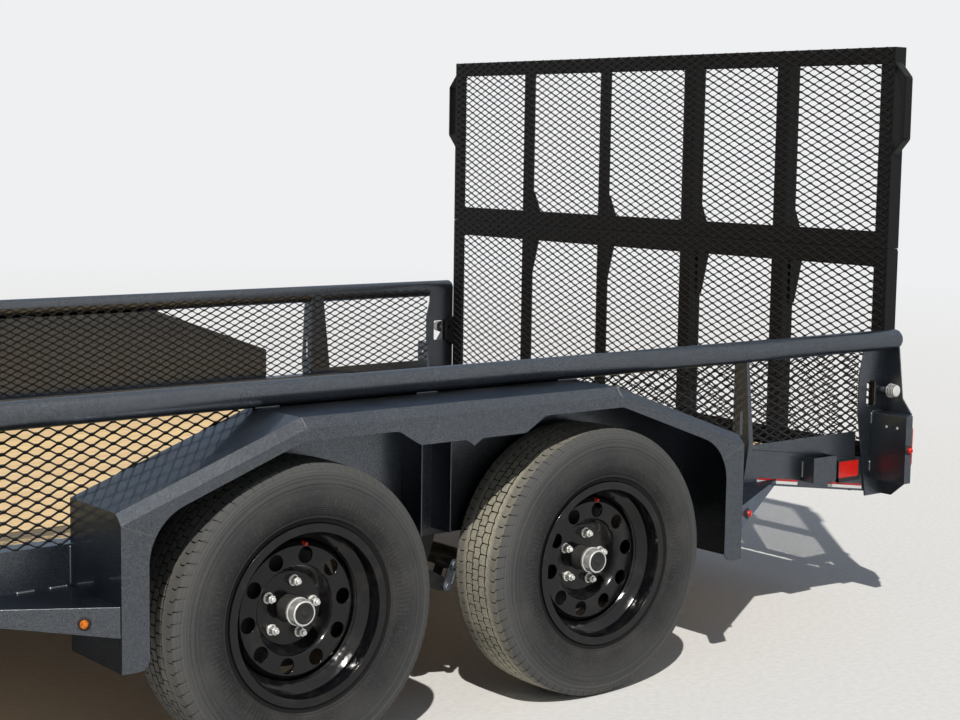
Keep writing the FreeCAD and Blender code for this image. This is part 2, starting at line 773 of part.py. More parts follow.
# Running gear
def leaf_band(x, z_mid, half, sag, thick):
    """One leaf, bowed down in the middle, as a band between two arcs."""
    ends = [(-half, sag * (half / spring_half) ** 2), (half, sag * (half / spring_half) ** 2)]
    y0 = spring_y - spring_width / 2

    def point(u, rise):
        return V(x + u, y0, z_mid + rise)
    top = Part.Arc(point(-half, ends[0][1] + thick), point(0, thick),
                   point(half, ends[1][1] + thick)).toShape()
    low = Part.Arc(point(half, ends[1][1]), point(0, 0), point(-half, ends[0][1])).toShape()
    right = Part.makeLine(point(half, ends[1][1] + thick), point(half, ends[1][1]))
    left = Part.makeLine(point(-half, ends[0][1]), point(-half, ends[0][1] + thick))
    wire = Part.Wire([top, right, low, left])
    return Part.Face(wire).extrude(V(0, spring_width, 0))


def shackle(low, high):
    """A flat link with round ends between two pins."""
    way = high - low
    turn = math.degrees(math.atan2(way.x, way.z))
    h = shackle_half
    link = plate([(-h, -h, h - 0.5), (h, -h, h - 0.5), (h, way.Length + h, h - 0.5),
                  (-h, way.Length + h, h - 0.5)], "y", 0, 5.5)
    link.rotate(V(0, 0, 0), V(0, 1, 0), turn)
    link.translate(low)
    return link


def build_running_gear():
    beam_z = axle_z - beam_drop
    seat_z = beam_z + beam_r + 5
    main_z = seat_z + leaf_thick * (leaf_count - 1)
    eye_z = main_z + spring_sag + leaf_thick / 2
    axles, springs, hangers, plates = [], [], [], []
    arm_in, arm_out = bed_half + 8, bed_half + 34
    for x in (0.0, axle_spacing):
        beam = [rod(V(x, -arm_out + 4, beam_z), V(x, arm_out - 4, beam_z), beam_r)]
        for s in (1, -1):
            arm = plate([(x - 32, beam_z - 32, 20), (x + 32, beam_z - 32, 20),
                         (x + 32, axle_z + 32, 20), (x - 32, axle_z + 32, 20)], "y",
                        arm_in, arm_out)
            beam.append(mirrored(arm, s))
            beam.append(rod(V(x, s * arm_out, axle_z), V(x, s * (tyre_middle + 40), axle_z),
                            spindle_r))
            beam.append(box((x - 31, x + 31), (s * (spring_y - 28), s * (spring_y + 28)),
                            (beam_z + beam_r - 8, seat_z)))
        axles.append(fused(beam))
        back = rod(V(x, arm_out, axle_z), V(x, arm_out + 4, axle_z), drum_r - 6)
        hole = rod(V(x, arm_out - 1, axle_z), V(x, arm_out + 5, axle_z), spindle_r)
        plates += both_sides(back.cut(hole))
        leaves = []
        for i in range(leaf_count):
            half = spring_half * (1.0, 0.78, 0.56, 0.36)[min(i, 3)]
            leaves.append(leaf_band(x, main_z - i * leaf_thick, half, spring_sag, leaf_thick))
        for end in (1, -1):
            eye = rod(V(x + end * spring_half, spring_y - spring_width / 2, eye_z),
                      V(x + end * spring_half, spring_y + spring_width / 2, eye_z), 16)
            leaves.append(eye)
        springs += both_sides(fused(leaves))
    keep("axle_beams", axles)
    keep("leaf_springs", springs)
    keep("brake_backing_plates", plates)
    # Hangers at the outer eyes, and a middle hanger with its equalizer
    for x in (-spring_half, axle_spacing + spring_half):
        cheek = [(x - 50, frame_bottom), (x + 50, frame_bottom), (x + 22, eye_z - 22, 18),
                 (x - 22, eye_z - 22, 18)]
        for y in (spring_y - spring_width / 2 - 6, spring_y + spring_width / 2 + 0.5):
            hangers += both_sides(plate(cheek, "y", y, y + 5.5))
    mid_pin = frame_bottom - equalizer_drop
    centre = [(middle_x - 60, frame_bottom), (middle_x + 60, frame_bottom),
              (middle_x + 22, mid_pin - 24, 18), (middle_x - 22, mid_pin - 24, 18)]
    equalizers = []
    for y in (spring_y - spring_width / 2 - 6, spring_y + spring_width / 2 + 0.5):
        hangers += both_sides(plate(centre, "y", y, y + 5.5))
    arm = equalizer_span / 2 - shackle_lean
    end_z = eye_z - math.sqrt(shackle_length ** 2 - shackle_lean ** 2)
    half = [(arm - 12, end_z - 13), (arm + 14, end_z - 13, 12), (arm + 14, end_z + 13, 12),
            (22, mid_pin + 22, 14)]
    points = half + [(-p[0],) + p[1:] for p in reversed(half)] + [(-22, mid_pin - 22), (22, mid_pin - 22)]
    points = [(middle_x + p[0],) + p[1:] for p in points]
    parts = [plate(points, "y", spring_y - 10, spring_y + 10)]
    cheek_half = spring_width / 2 + 6
    inside = spring_width / 2 + 0.5
    parts.append(rod(V(middle_x, spring_y - inside, mid_pin),
                     V(middle_x, spring_y + inside, mid_pin), 7))
    for end in (1, -1):
        near, far = middle_x + end * arm, middle_x + end * equalizer_span / 2
        parts.append(rod(V(near, spring_y - cheek_half, end_z),
                         V(near, spring_y + cheek_half, end_z), 6))
        link = shackle(V(near, 0, end_z), V(far, 0, eye_z))
        for y in (spring_y - cheek_half, spring_y + inside):
            plate_here = link.copy()
            plate_here.translate(V(0, y, 0))
            parts.append(plate_here)
    equalizers += both_sides(fused(parts))
    keep("spring_hangers", hangers)
    keep("equalizers", equalizers)
    # Clamps: a plate under each beam and four bolt legs
    clamps = []
    for x in (0.0, axle_spacing):
        low = beam_z - beam_r - 8
        top = main_z + leaf_thick + spring_sag * (48 / spring_half) ** 2
        parts = [box((x - 48, x + 48), (spring_y - 34, spring_y + 25), (low, low + 8)),
                 box((x - 48, x + 48), (spring_y - 34, spring_y + 25), (top, top + 8))]
        for dx in (-38, 38):
            for y in (spring_y - 28, ):
                parts.append(rod(V(x + dx, y, low - 10), V(x + dx, y, top + 8), 5.5))
        clamps += both_sides(fused(parts))
    keep("axle_clamps", clamps)


# Wheels
def tyre_ring(centre, side):
    h = tyre_width / 2
    half = [(0, tyre_r), (tread_half, tyre_r - 3), (h - 10, tyre_r - 22), (h, tyre_r - 70),
            (h - 6, tyre_r - 108), (rim_flange_half - 5, rim_flange_r + 8),
            (rim_flange_half - 14, bead_r)]
    points = half + [(-u, v) for u, v in reversed(half[1:])]
    return turned(points, centre)


def ring_spots(count, r, turn):
    """Places spread evenly on a circle, as (x, z) from its middle."""
    turns = [math.radians(turn + 360.0 * i / count) for i in range(count)]
    return [(r * math.cos(a), r * math.sin(a)) for a in turns]


def lug_spots():
    return ring_spots(lug_count, lug_circle_r, lug_turn)


def rim(centre, side):
    """Barrel with a drop centre, a dished disc, round vents and lug holes."""
    f = rim_flange_half
    w = rim_wall
    barrel = [(-f, rim_flange_r), (-f, bead_r - w), (-f + 40, bead_r - w), (-f + 58, rim_well_r - w),
              (f - 66, rim_well_r - w), (f - 40, bead_r - w), (f, bead_r - w), (f, rim_flange_r),
              (f - w, rim_flange_r), (f - w - 4, bead_r), (f - 38, bead_r), (f - 60, rim_well_r),
              (-f + 56, rim_well_r), (-f + 36, bead_r), (-f + w + 4, bead_r), (-f + w, rim_flange_r)]
    disc = [(0, 32), (0, 84), (28, 101), (34, 106), (34, 148), (27, 157), (12, rim_well_r - w),
            (4, rim_well_r - w), (21, 155), (28, 148), (28, 106), (25, 104), (-5, 88), (-5, 32)]
    shape = turned(barrel, V(0, 0, 0)).fuse(turned(disc, V(0, 0, 0)))
    cuts = [rod(V(x, -8, z), V(x, 3, z), lug_nut_r + lug_room) for x, z in lug_spots()]
    vents = ring_spots(vent_count, vent_circle_r, lug_turn)
    cuts += [rod(V(x, 12, z), V(x, 45, z), vent_r) for x, z in vents]
    shape = shape.cut(Part.makeCompound(cuts))
    shape = mirrored(shape, side)
    shape.translate(centre)
    return shape


def hub(centre, side):
    """Drum, flange, bearing cap and lug nuts, turning on the spindle."""
    drum = [(-60, spindle_r + bearing_gap), (-60, 38), (-20, 44), (-12, drum_r - 8),
            (-66, drum_r - 8), (-66, drum_r), (-5, drum_r), (-5, 31.7), (42, 29),
            (42, spindle_r + bearing_gap)]
    shape = turned(drum, V(0, 0, 0))
    cap = turned([(42, 0), (42, 29), (62, 27), (66, 22), (66, 0)], V(0, 0, 0))
    nuts = []
    for x, z in lug_spots():
        corners = [(x + u, z + v) for u, v in ring_spots(6, lug_nut_r, lug_turn)]
        nuts.append(plate(corners, "y", -8, lug_nut_out))
        nuts.append(rod(V(x, 0, z), V(x, stud_out, z), stud_r))
    shape = mirrored(fused([shape, cap] + nuts), side)
    shape.translate(centre)
    return shape


def build_wheels():
    for place, x in (("front", axle_spacing), ("rear", 0.0)):
        for name, s in (("left", 1), ("right", -1)):
            centre = V(x, s * tyre_middle, axle_z)
            keep("tyre_%s_%s" % (place, name), tyre_ring(centre, s))
            keep("wheel_%s_%s" % (place, name), rim(centre, s))
            keep("hub_%s_%s" % (place, name), hub(centre, s))


# Gate
def angle_up(y_lo, z0, z1, leg_edge):
    """An upright angle: a leg on the front face and one that points back at one edge."""
    y_hi = y_lo + angle_leg
    face = box((gate_front - angle_wall, gate_front), (y_lo, y_hi), (z0, z1))
    edge = (y_hi - angle_wall, y_hi) if leg_edge > 0 else (y_lo, y_lo + angle_wall)
    return [face, box((gate_rear, gate_front), edge, (z0, z1))]


def angle_level(z_lo, leg_edge):
    """A level angle across the gate."""
    z_hi = z_lo + angle_leg
    half = gate_half
    face = box((gate_front - angle_wall, gate_front), (-half, half), (z_lo, z_hi))
    edge = (z_hi - angle_wall, z_hi) if leg_edge > 0 else (z_lo, z_lo + angle_wall)
    return [face, box((gate_rear, gate_front), (-half, half), edge)]


def rib_middles():
    bay = 2 * (gate_half - angle_leg / 2) / gate_bays
    first = -(gate_half - angle_leg / 2)
    return [first + bay * i for i in range(1, gate_bays)]


def gate_panel(z0, z1):
    parts = angle_level(z0, -1) + angle_level(z1 - angle_leg, 1)
    parts += angle_up(-gate_half, z0, z1, -1) + angle_up(gate_half - angle_leg, z0, z1, 1)
    for y in rib_middles():
        parts += angle_up(y - angle_leg / 2, z0, z1, 1 if y > 0 else -1)
    return parts


def fold_gusset(y0, y1, up):
    """A plate from a rib's rear edge to the fold pin."""
    way = 1 if up else -1
    height = gusset_upper if up else gusset_lower
    root = gate_seam + way * gate_gap / 2
    tip = fold_x - fold_tip_r
    points = [(gate_rear + 22, root), (gate_rear + 22, root + way * height),
              (gate_rear, root + way * height), (tip, gate_seam + way * 16),
              (tip, gate_seam - way * fold_tip_r, fold_tip_r - 1),
              (fold_x + fold_tip_r, gate_seam - way * fold_tip_r, fold_tip_r - 1),
              (fold_x + fold_tip_r, root)]
    return plate(points, "y", y0, y1)


def build_gate():
    lower = gate_panel(gate_bottom, gate_seam - gate_gap / 2)
    upper = gate_panel(gate_seam + gate_gap / 2, gate_top)
    lower, upper = fused(lower), fused(upper)
    keep("gate_lower_frame", lower)
    keep("gate_upper_frame", upper)
    lower_lugs, upper_lugs = [], []
    for y in rib_middles():
        s = 1 if y > 0 else -1
        leg = y + s * (angle_leg / 2 - angle_wall)
        outer = sorted((leg + s * angle_wall, leg + s * (angle_wall + gusset_plate)))
        inner = sorted((leg, leg - s * gusset_plate))
        a = min(outer + inner) - 5
        b = max(outer + inner) + 5
        pin = rod(V(fold_x, a, gate_seam), V(fold_x, b, gate_seam), fold_pin_r)
        hole = rod(V(fold_x, a, gate_seam), V(fold_x, b, gate_seam), fold_pin_r + pin_gap)
        gusset = fold_gusset(outer[0], outer[1], False).cut(lower)
        lower_lugs.append(fused([gusset, pin]))
        upper_lugs.append(fold_gusset(inner[0], inner[1], True).cut(hole).cut(upper))
    pin = rod(V(gate_hinge_x, gate_half, gate_hinge_z),
              V(gate_hinge_x, bed_half + hinge_lug + 6, gate_hinge_z), hinge_pin_r)
    low = gate_bottom + 156
    tab = plate([(gate_front, low), (gate_front + 38, low + 22, 8), (gate_front + 38, low + 90, 8),
                 (gate_front, low + 112)], "y", gate_half - 6, gate_half)
    pin_hole = rod(V(latch_x, gate_half - 7, latch_z), V(latch_x, gate_half + 1, latch_z),
                   latch_pin_r + 1)
    tab = tab.cut(pin_hole)
    keep("gate_lower_lugs", lower_lugs + both_sides(pin) + both_sides(tab))
    keep("gate_upper_lugs", upper_lugs)
    half = gate_half - gusset_plate - 1
    low = mesh_sheet("x", gate_front, mesh_thick, (-half, half),
                     (gate_bottom, gate_seam - gate_gap / 2), 30)
    high = mesh_sheet("x", gate_front, mesh_thick, (-half, half),
                      (gate_seam + gate_gap / 2, gate_top), 30)
    keep("gate_lower_mesh", low)
    keep("gate_upper_mesh", high)
    x1 = gate_front - handle_inset
    x0 = x1 - handle_width
    h, reach, bar = gate_half, handle_reach, handle_bar
    top = gate_top - handle_below_top
    low = top - handle_height
    slope = handle_slant / reach
    step = bar * math.hypot(1, slope)
    corner = step + (reach - bar) * slope
    big = [(h, low), (h + reach, low + handle_slant, 14), (h + reach, top - handle_slant, 14), (h, top)]
    small = [(h - 1, low + step - slope), (h + reach - bar, low + corner, 8),
             (h + reach - bar, top - corner, 8), (h - 1, top - step + slope)]
    handle = plate(big, "x", x0, x1).cut(plate(small, "x", x0 - 1, x1 + 1))
    keep("gate_handles", both_sides(handle))


build_frame()
build_deck()
build_tongue()
build_rails()
build_uprights()
build_rear_corners()
build_markers()
build_fillers()
build_fenders()
build_side_mesh()
build_running_gear()
build_wheels()
build_gate()

os.makedirs("parts", exist_ok=True)
for name, shape in nodes.items():
    placed = shape.copy()
    placed.translate(V(shift_x, 0, 0))
    placed.exportStep("parts/%s.step" % name)
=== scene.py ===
"""Looks of a tandem-axle utility trailer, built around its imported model. Lengths are metres."""

import json
import math

import bmesh
import bpy
import numpy as np
from mathutils import Matrix, Vector


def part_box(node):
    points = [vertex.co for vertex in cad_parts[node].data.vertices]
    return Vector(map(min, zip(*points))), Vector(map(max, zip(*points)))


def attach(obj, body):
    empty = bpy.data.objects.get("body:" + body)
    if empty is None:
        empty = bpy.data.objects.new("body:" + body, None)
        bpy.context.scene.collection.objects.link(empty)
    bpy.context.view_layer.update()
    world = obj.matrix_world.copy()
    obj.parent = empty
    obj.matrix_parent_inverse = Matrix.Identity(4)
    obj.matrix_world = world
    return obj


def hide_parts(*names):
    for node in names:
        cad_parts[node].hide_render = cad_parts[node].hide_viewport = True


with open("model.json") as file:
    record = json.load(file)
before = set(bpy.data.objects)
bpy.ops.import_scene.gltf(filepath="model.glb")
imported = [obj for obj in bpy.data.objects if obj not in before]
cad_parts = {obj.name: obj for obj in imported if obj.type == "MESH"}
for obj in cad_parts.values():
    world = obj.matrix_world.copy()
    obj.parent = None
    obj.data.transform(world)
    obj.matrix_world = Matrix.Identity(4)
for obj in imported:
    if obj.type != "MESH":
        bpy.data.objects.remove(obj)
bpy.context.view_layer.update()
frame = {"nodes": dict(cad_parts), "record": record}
scene = bpy.context.scene
nodes = frame["nodes"]

# Sizes of what is added here
mesh_long = 0.0508           # diamond pitch along the long way
mesh_row = 0.0117            # from one strand to the next
strand_width = 0.0029
strand_depth = 0.0044
strand_tilt = math.radians(28)
bond_share = 0.34            # share of a half pitch where two strands run side by side
tread_pitches = 80
tread_depth = 0.0065
lug_circle = 0.0635
lug_count = 5
lug_turn = math.radians(29)
edge_round = 0.0012
fold_limit = math.radians(12.8)   # above the facets of curves, below the slightest fold
turned_limit = math.radians(40)   # for rails and wheels, which have coarser facets
board_count = 11
board_gap = 0.004
frame_height = 0.100
tail_slope = 0.145           # fall of the dovetail's side for each metre of its length

# Places read from the frame
wheels = {}
for place in ("front", "rear"):
    for side in ("left", "right"):
        low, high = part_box("tyre_%s_%s" % (place, side))
        wheels[place + "_" + side] = ((low + high) / 2, 1 if side == "left" else -1)
low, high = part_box("tyre_front_left")
tyre_r = (high.z - low.z) / 2
tread_edge = 0.0785
# The tyre over its tread and shoulder: place across, and radius
crown = ((0.0, tyre_r), (0.040, tyre_r - 0.0009), (tread_edge, tyre_r - 0.0036), (0.0835, 0.3375),
         (0.0880, 0.3325), (0.0925, 0.3245))
deck_low, deck_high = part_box("deck_boards")
board_pitch = (deck_high.y - deck_low.y + board_gap) / board_count
low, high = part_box("left_fender")
fender_middle = (low.x + high.x) / 2
fender_half = high.x - fender_middle
fender_top = high.z
fender_face = high.y
frame_side = low.y
frame_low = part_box("frame_side_members")[1].z - frame_height
dovetail_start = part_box("dovetail_boards")[1].x


# Materials
class Paint:
    """A material, with short calls for the nodes that it is made of."""

    def __init__(self, name, colour, roughness, **constants):
        self.material = bpy.data.materials.new(name)
        self.material.use_nodes = True
        self.tree = self.material.node_tree
        self.shader = self.tree.nodes["Principled BSDF"]
        self.shader.inputs["Base Color"].default_value = (*colour, 1)
        self.shader.inputs["Roughness"].default_value = roughness
        for socket, value in constants.items():
            self.shader.inputs[socket.replace("_", " ")].default_value = value

    def node(self, kind, links=(), **settings):
        """Adds a node. A link is a socket with a value or with the output that feeds it."""
        made = self.tree.nodes.new("ShaderNode" + kind)
        for key, value in settings.items():
            setattr(made, key, value)
        for socket, source in links:
            if isinstance(source, bpy.types.NodeSocket):
                self.tree.links.new(source, made.inputs[socket])
            else:
                made.inputs[socket].default_value = source
        return made

    def stretched(self, vector, stretch):
        """A place with its three axes scaled."""
        return self.node("Mapping", [("Vector", vector), ("Scale", stretch)]).outputs[0]

    def spot(self, stretch=(1, 1, 1)):
        """The place on the piece, in its own axes."""
        return self.stretched(self.node("TexCoord").outputs["Object"], stretch)

    def noise(self, scale, spot=None, detail=3.0, distortion=0.0):
        """Soft noise between 0 and 1, mostly between 0.3 and 0.7."""
        made = self.node("TexNoise", [("Vector", spot or self.spot()), ("Scale", scale),
                                      ("Detail", detail), ("Distortion", distortion)])
        return made.outputs["Fac"]

    def cells(self, scale, spot=None, output="Color"):
        """Cells round scattered points: a random colour each, or the distance to the point."""
        made = self.node("TexVoronoi", [("Vector", spot or self.spot()), ("Scale", scale)])
        return made.outputs[output]

    def maths(self, operation, a, b=0.0):
        """One step of arithmetic."""
        return self.node("Math", [(0, a), (1, b)], operation=operation).outputs[0]

    def times(self, a, b):
        """The product of two values."""
        return self.maths("MULTIPLY", a, b)

    def ramp(self, value, low, high, to_low=0.0, to_high=1.0):
        """Takes a value from one range to another, held at both ends."""
        made = self.node("MapRange", [("Value", value), ("From Min", low), ("From Max", high),
                                      ("To Min", to_low), ("To Max", to_high)])
        return made.outputs[0]

    def mix(self, share, a, b):
        """The first colour where the share is 0, and the second where it is 1."""
        a = a if isinstance(a, bpy.types.NodeSocket) else (*a, 1)
        b = b if isinstance(b, bpy.types.NodeSocket) else (*b, 1)
        return self.node("Mix", [(0, share), (6, a), (7, b)], data_type="RGBA").outputs[2]

    def split(self, vector):
        """The three parts of a place or a colour."""
        return self.node("SeparateXYZ", [(0, vector)]).outputs

    def wire(self, socket, source):
        """Feeds one of the shader's sockets."""
        self.tree.links.new(source, self.shader.inputs[socket])

    def bump(self, height, distance, strength=1.0):
        """Relief in the shader's normal; the distance is how high a height of 1 stands."""
        made = self.node("Bump", [("Height", height), ("Distance", distance), ("Strength", strength)])
        self.wire("Normal", made.outputs[0])


def powder_coat(name, colour, flake, roughness, metallic, coat, level=0.5, edge=(1, 1, 1)):
    """Powder coat: an even colour with fine metallic grains and a slight orange peel."""
    paint = Paint(name, colour, roughness, Metallic=metallic, Coat_Weight=coat, Coat_Roughness=0.08,
                  Specular_IOR_Level=level, Specular_Tint=(*edge, 1))
    random = paint.split(paint.cells(2200))[0]
    grains = paint.maths("POWER", random, 4.0)
    broad = paint.ramp(paint.noise(2.6, detail=4), 0.3, 0.7)
    base = paint.mix(broad, [c * 0.92 for c in colour], [c * 1.08 for c in colour])
    paint.wire("Base Color", paint.mix(grains, base, flake))
    smudge = paint.noise(9, detail=5)
    paint.wire("Roughness", paint.ramp(smudge, 0.3, 0.7, roughness - 0.04, roughness + 0.06))
    paint.bump(paint.noise(420, detail=2), 0.00007)
    return paint.material


def pine():
    """Planed pine boards: each has its own tone and grain, with a few knots."""
    pale, warm, browner = (0.90, 0.66, 0.34), (0.62, 0.41, 0.18), (0.64, 0.44, 0.25)
    fibre_dark, knot_dark = (0.36, 0.22, 0.1), (0.16, 0.07, 0.03)
    board_shift = 7.3   # moves the grain along from board to board
    paint = Paint("pine_boards", (0.6, 0.4, 0.2), 0.62)
    x, y, z = paint.split(paint.spot())
    board = paint.maths("DIVIDE", paint.maths("SUBTRACT", y, deck_low.y), board_pitch)
    board = paint.maths("FLOOR", board)
    tone = paint.node("TexWhiteNoise", [("W", board)], noise_dimensions="1D").outputs["Value"]
    along = paint.maths("ADD", x, paint.times(board, board_shift))
    own = paint.node("CombineXYZ", [(0, along), (1, y), (2, z)]).outputs[0]
    figure = paint.noise(3.4, paint.stretched(own, (0.55, 9.0, 9.0)), detail=3, distortion=0.5)
    rings = paint.maths("FRACT", paint.times(figure, 9.0))
    rings = paint.ramp(paint.maths("PINGPONG", rings, 0.5), 0.08, 0.42)
    fibre = paint.noise(1.0, paint.stretched(own, (5.0, 190.0, 190.0)), detail=4)
    knot = paint.cells(1.0, paint.stretched(own, (1.15, 4.2, 0.01)), "Distance")
    knot = paint.ramp(knot, 0.028, 0.06, 1.0, 0.0)
    wood = paint.mix(paint.times(rings, 0.55), pale, warm)
    wood = paint.mix(paint.ramp(tone, 0, 1, 0.0, 0.42), wood, browner)
    wood = paint.mix(paint.ramp(fibre, 0.42, 0.66, 0.0, 0.3), wood, fibre_dark)
    wood = paint.mix(paint.times(knot, 0.8), wood, knot_dark)
    paint.wire("Base Color", wood)
    paint.wire("Roughness", paint.ramp(fibre, 0.3, 0.7, 0.5, 0.72))
    paint.bump(paint.maths("ADD", fibre, paint.times(rings, 0.6)), 0.0006, 0.6)
    return paint.material


def from_middle(paint, a, b):
    """The distance from the middle in the plane of two axes."""
    return paint.maths("SQRT", paint.maths("ADD", paint.times(a, a), paint.times(b, b)))


def rubber(name, dust, dusty):
    """Tyre rubber: dusty on the tread, with painted shade in its grooves, greyer where the sidewall is
    scuffed, and painted lighter towards the shoulder as sky light.
    """
    dark_rubber, grey, sky_lit_shoulder_grey = (0.019, 0.019, 0.020), (0.060, 0.061, 0.062), (0.115, 0.116, 0.113)
    ring_dark, scuffed, specked = (0.024, 0.024, 0.025), (0.095, 0.093, 0.085), (0.11, 0.108, 0.10)
    rib_waves = 150.0
    paint = Paint(name, (0.03, 0.03, 0.03), 0.8, Specular_IOR_Level=0.2)
    x, across, z = paint.split(paint.spot())
    radius = from_middle(paint, x, z)
    broad = paint.noise(7, detail=5)
    speck = paint.noise(160, detail=3)

    # The sidewall, from the rim to the shoulder: darker near the rim, and painted lighter towards the
    # shoulder as sky light on it
    side = paint.mix(paint.ramp(radius, 0.235, 0.30), dark_rubber, grey)
    side = paint.mix(paint.ramp(radius, 0.300, 0.335), side, sky_lit_shoulder_grey)
    rings = paint.noise(190, paint.node("CombineXYZ", [(0, radius)]).outputs[0], detail=3)
    side = paint.mix(paint.ramp(rings, 0.38, 0.62, 0.55, 0.0), side, ring_dark)
    side = paint.mix(paint.ramp(broad, 0.42, 0.7, 0.0, 0.35), side, scuffed)
    side = paint.mix(paint.ramp(speck, 0.50, 0.75, 0.0, 0.25), side, specked)

    # Depth under the tread's own curve, which falls a little more than the shape does at its edge
    aside = paint.maths("ABSOLUTE", across)
    flat = paint.maths("MINIMUM", aside, tread_edge)
    fall = paint.times(paint.times(flat, flat), 0.58)
    for (start, _), (end, _), drop in zip(crown[2:], crown[3:], (0.0042, 0.0050, 0.0080)):
        fall = paint.maths("ADD", fall, paint.ramp(aside, start, end, 0.0, drop))
    own_depth = paint.maths("SUBTRACT", paint.maths("SUBTRACT", tyre_r, fall), radius)
    deep = paint.ramp(own_depth, 0.0008, 0.0026)

    # Dust on the tread, and painted shade in its cuts, darker than the rubber itself
    inside = paint.ramp(aside, 0.0765, 0.079, 1.0, 0.0)
    shoulder = paint.ramp(aside, 0.044, 0.056, 1.0, 0.45)
    patchy = paint.times(paint.ramp(broad, 0.3, 0.65, 0.6, 1.0), dusty)
    share = paint.times(paint.times(inside, shoulder), patchy)
    tread_colour = paint.mix(paint.ramp(speck, 0.4, 0.65), dust, [c * 0.72 for c in dust])
    worn = paint.mix(share, side, tread_colour)
    # Painted shade: the grooves and sipes go near black, below the rubber's own colour.
    dark = paint.times(deep, paint.ramp(aside, 0.0905, 0.0920, 1.0, 0.0))
    paint.wire("Base Color", paint.mix(dark, worn, (0.006, 0.006, 0.006)))
    paint.wire("Roughness", paint.ramp(share, 0, 1, 0.7, 0.92))

    # Fine ribs beside the rim, with grain and scuffs everywhere
    grain = paint.noise(900, detail=2)
    scuff = paint.noise(60, paint.spot((1, 3, 1)), detail=5)
    around = paint.times(paint.maths("ARCTAN2", z, x), rib_waves)
    ribs = paint.times(paint.maths("SINE", around), paint.ramp(radius, 0.232, 0.24))
    ribs = paint.times(ribs, paint.ramp(radius, 0.262, 0.27, 0.35, 0.0))
    paint.bump(paint.maths("ADD", paint.maths("ADD", grain, scuff), ribs), 0.0011, 0.9)
    return paint.material


def gloss_black():
    """Black enamel, drawn with a low base so that only sharp highlights show."""
    paint = Paint("wheel_gloss", (0.004, 0.004, 0.005), 0.14, Specular_IOR_Level=0.35)
    dust = paint.ramp(paint.noise(26, detail=6), 0.5, 0.8, 0.0, 0.05)
    paint.wire("Base Color", paint.mix(dust, (0.004, 0.004, 0.005), (0.3, 0.26, 0.2)))
    paint.wire("Roughness", paint.ramp(paint.noise(40, detail=4), 0.35, 0.75, 0.1, 0.22))
    paint.bump(paint.noise(28, detail=2), 0.0006, 0.35)
    return paint.material


def bare_metal(name, colour, roughness, metallic, speckle, depth):
    """Plated or cast metal, blotched down to a share of its colour."""
    paint = Paint(name, colour, roughness, Metallic=metallic)
    blotch = paint.ramp(paint.noise(55, detail=5), 0.3, 0.7)
    paint.wire("Base Color", paint.mix(blotch, [c * speckle for c in colour], colour))
    smudge = paint.noise(120, detail=4)
    paint.wire("Roughness", paint.ramp(smudge, 0.3, 0.7, roughness - 0.1, roughness + 0.12))
    paint.bump(paint.noise(260, detail=4), depth)
    return paint.material


def lens(name, colour, deep):
    """A moulded lens with rows of small prisms under a clear face."""
    paint = Paint(name, colour, 0.2, Specular_IOR_Level=0.2, Coat_Weight=0.35, Coat_Roughness=0.04)
    prisms = paint.cells(330, output="Distance")
    paint.wire("Base Color", paint.mix(paint.ramp(prisms, 0.1, 0.7), colour, deep))
    paint.bump(prisms, 0.0008, 0.5)
    return paint.material


def plain(name, colour, roughness):
    """Dull rubber or plastic, a little patchy."""
    paint = Paint(name, colour, roughness)
    patch = paint.ramp(paint.noise(40, detail=4), 0.3, 0.7)
    paint.wire("Base Color", paint.mix(patch, [c * 0.8 for c in colour], colour))
    paint.bump(paint.noise(380, detail=3), 0.0003)
    return paint.material


looks = {
    # Painted reflection: the frame's bluish edge tint colours its grazing reflections as a blue sky would.
    "frame": powder_coat("charcoal_coat", (0.036, 0.044, 0.056), flake=(0.34, 0.355, 0.375),
                         roughness=0.35, metallic=1.0, coat=0.25, edge=(0.36, 0.45, 0.58)),
    "gate": powder_coat("black_coat", (0.0040, 0.0041, 0.0046), flake=(0.022, 0.022, 0.024),
                        roughness=0.36, metallic=0.0, coat=0.04, level=0.09),
    "mesh": powder_coat("mesh_coat", (0.007, 0.007, 0.0075), flake=(0.03, 0.03, 0.032),
                        roughness=0.42, metallic=0.0, coat=0.04, level=0.2),
    "deck": pine(),
    "tyre": rubber("tyre_rubber", dust=(0.16, 0.152, 0.13), dusty=0.6),
    "wheel": gloss_black(),
    "hub": bare_metal("cast_hub", (0.06, 0.058, 0.055), roughness=0.55, metallic=0.35,
                      speckle=0.6, depth=0.0006),
    "axle": bare_metal("axle_black", (0.020, 0.020, 0.021), roughness=0.5, metallic=0.1,
                       speckle=0.7, depth=0.0003),
    "zinc": bare_metal("zinc_plate", (0.82, 0.82, 0.79), roughness=0.34, metallic=0.75,
                       speckle=0.8, depth=0.0002),
    "amber": lens("amber_lens", (0.80, 0.26, 0.015), deep=(0.38, 0.08, 0.004)),
    "red": lens("red_lens", (0.85, 0.022, 0.012), deep=(0.42, 0.006, 0.004)),
}
# The rear tyres' tread is dusty, and its dust is painted much lighter than the front's as sunlight on it.
sunlit_dusty_tyre = rubber("sunlit_dusty_rubber", dust=(0.44, 0.41, 0.32), dusty=1.0)
# Painted shade: the spring links' zinc is darkened well below the other zinc, as if shaded by the fender.
shaded_zinc = bare_metal("painted_shade_zinc_plate", (0.26, 0.29, 0.33), roughness=0.42, metallic=0.8,
                       speckle=0.7, depth=0.0003)
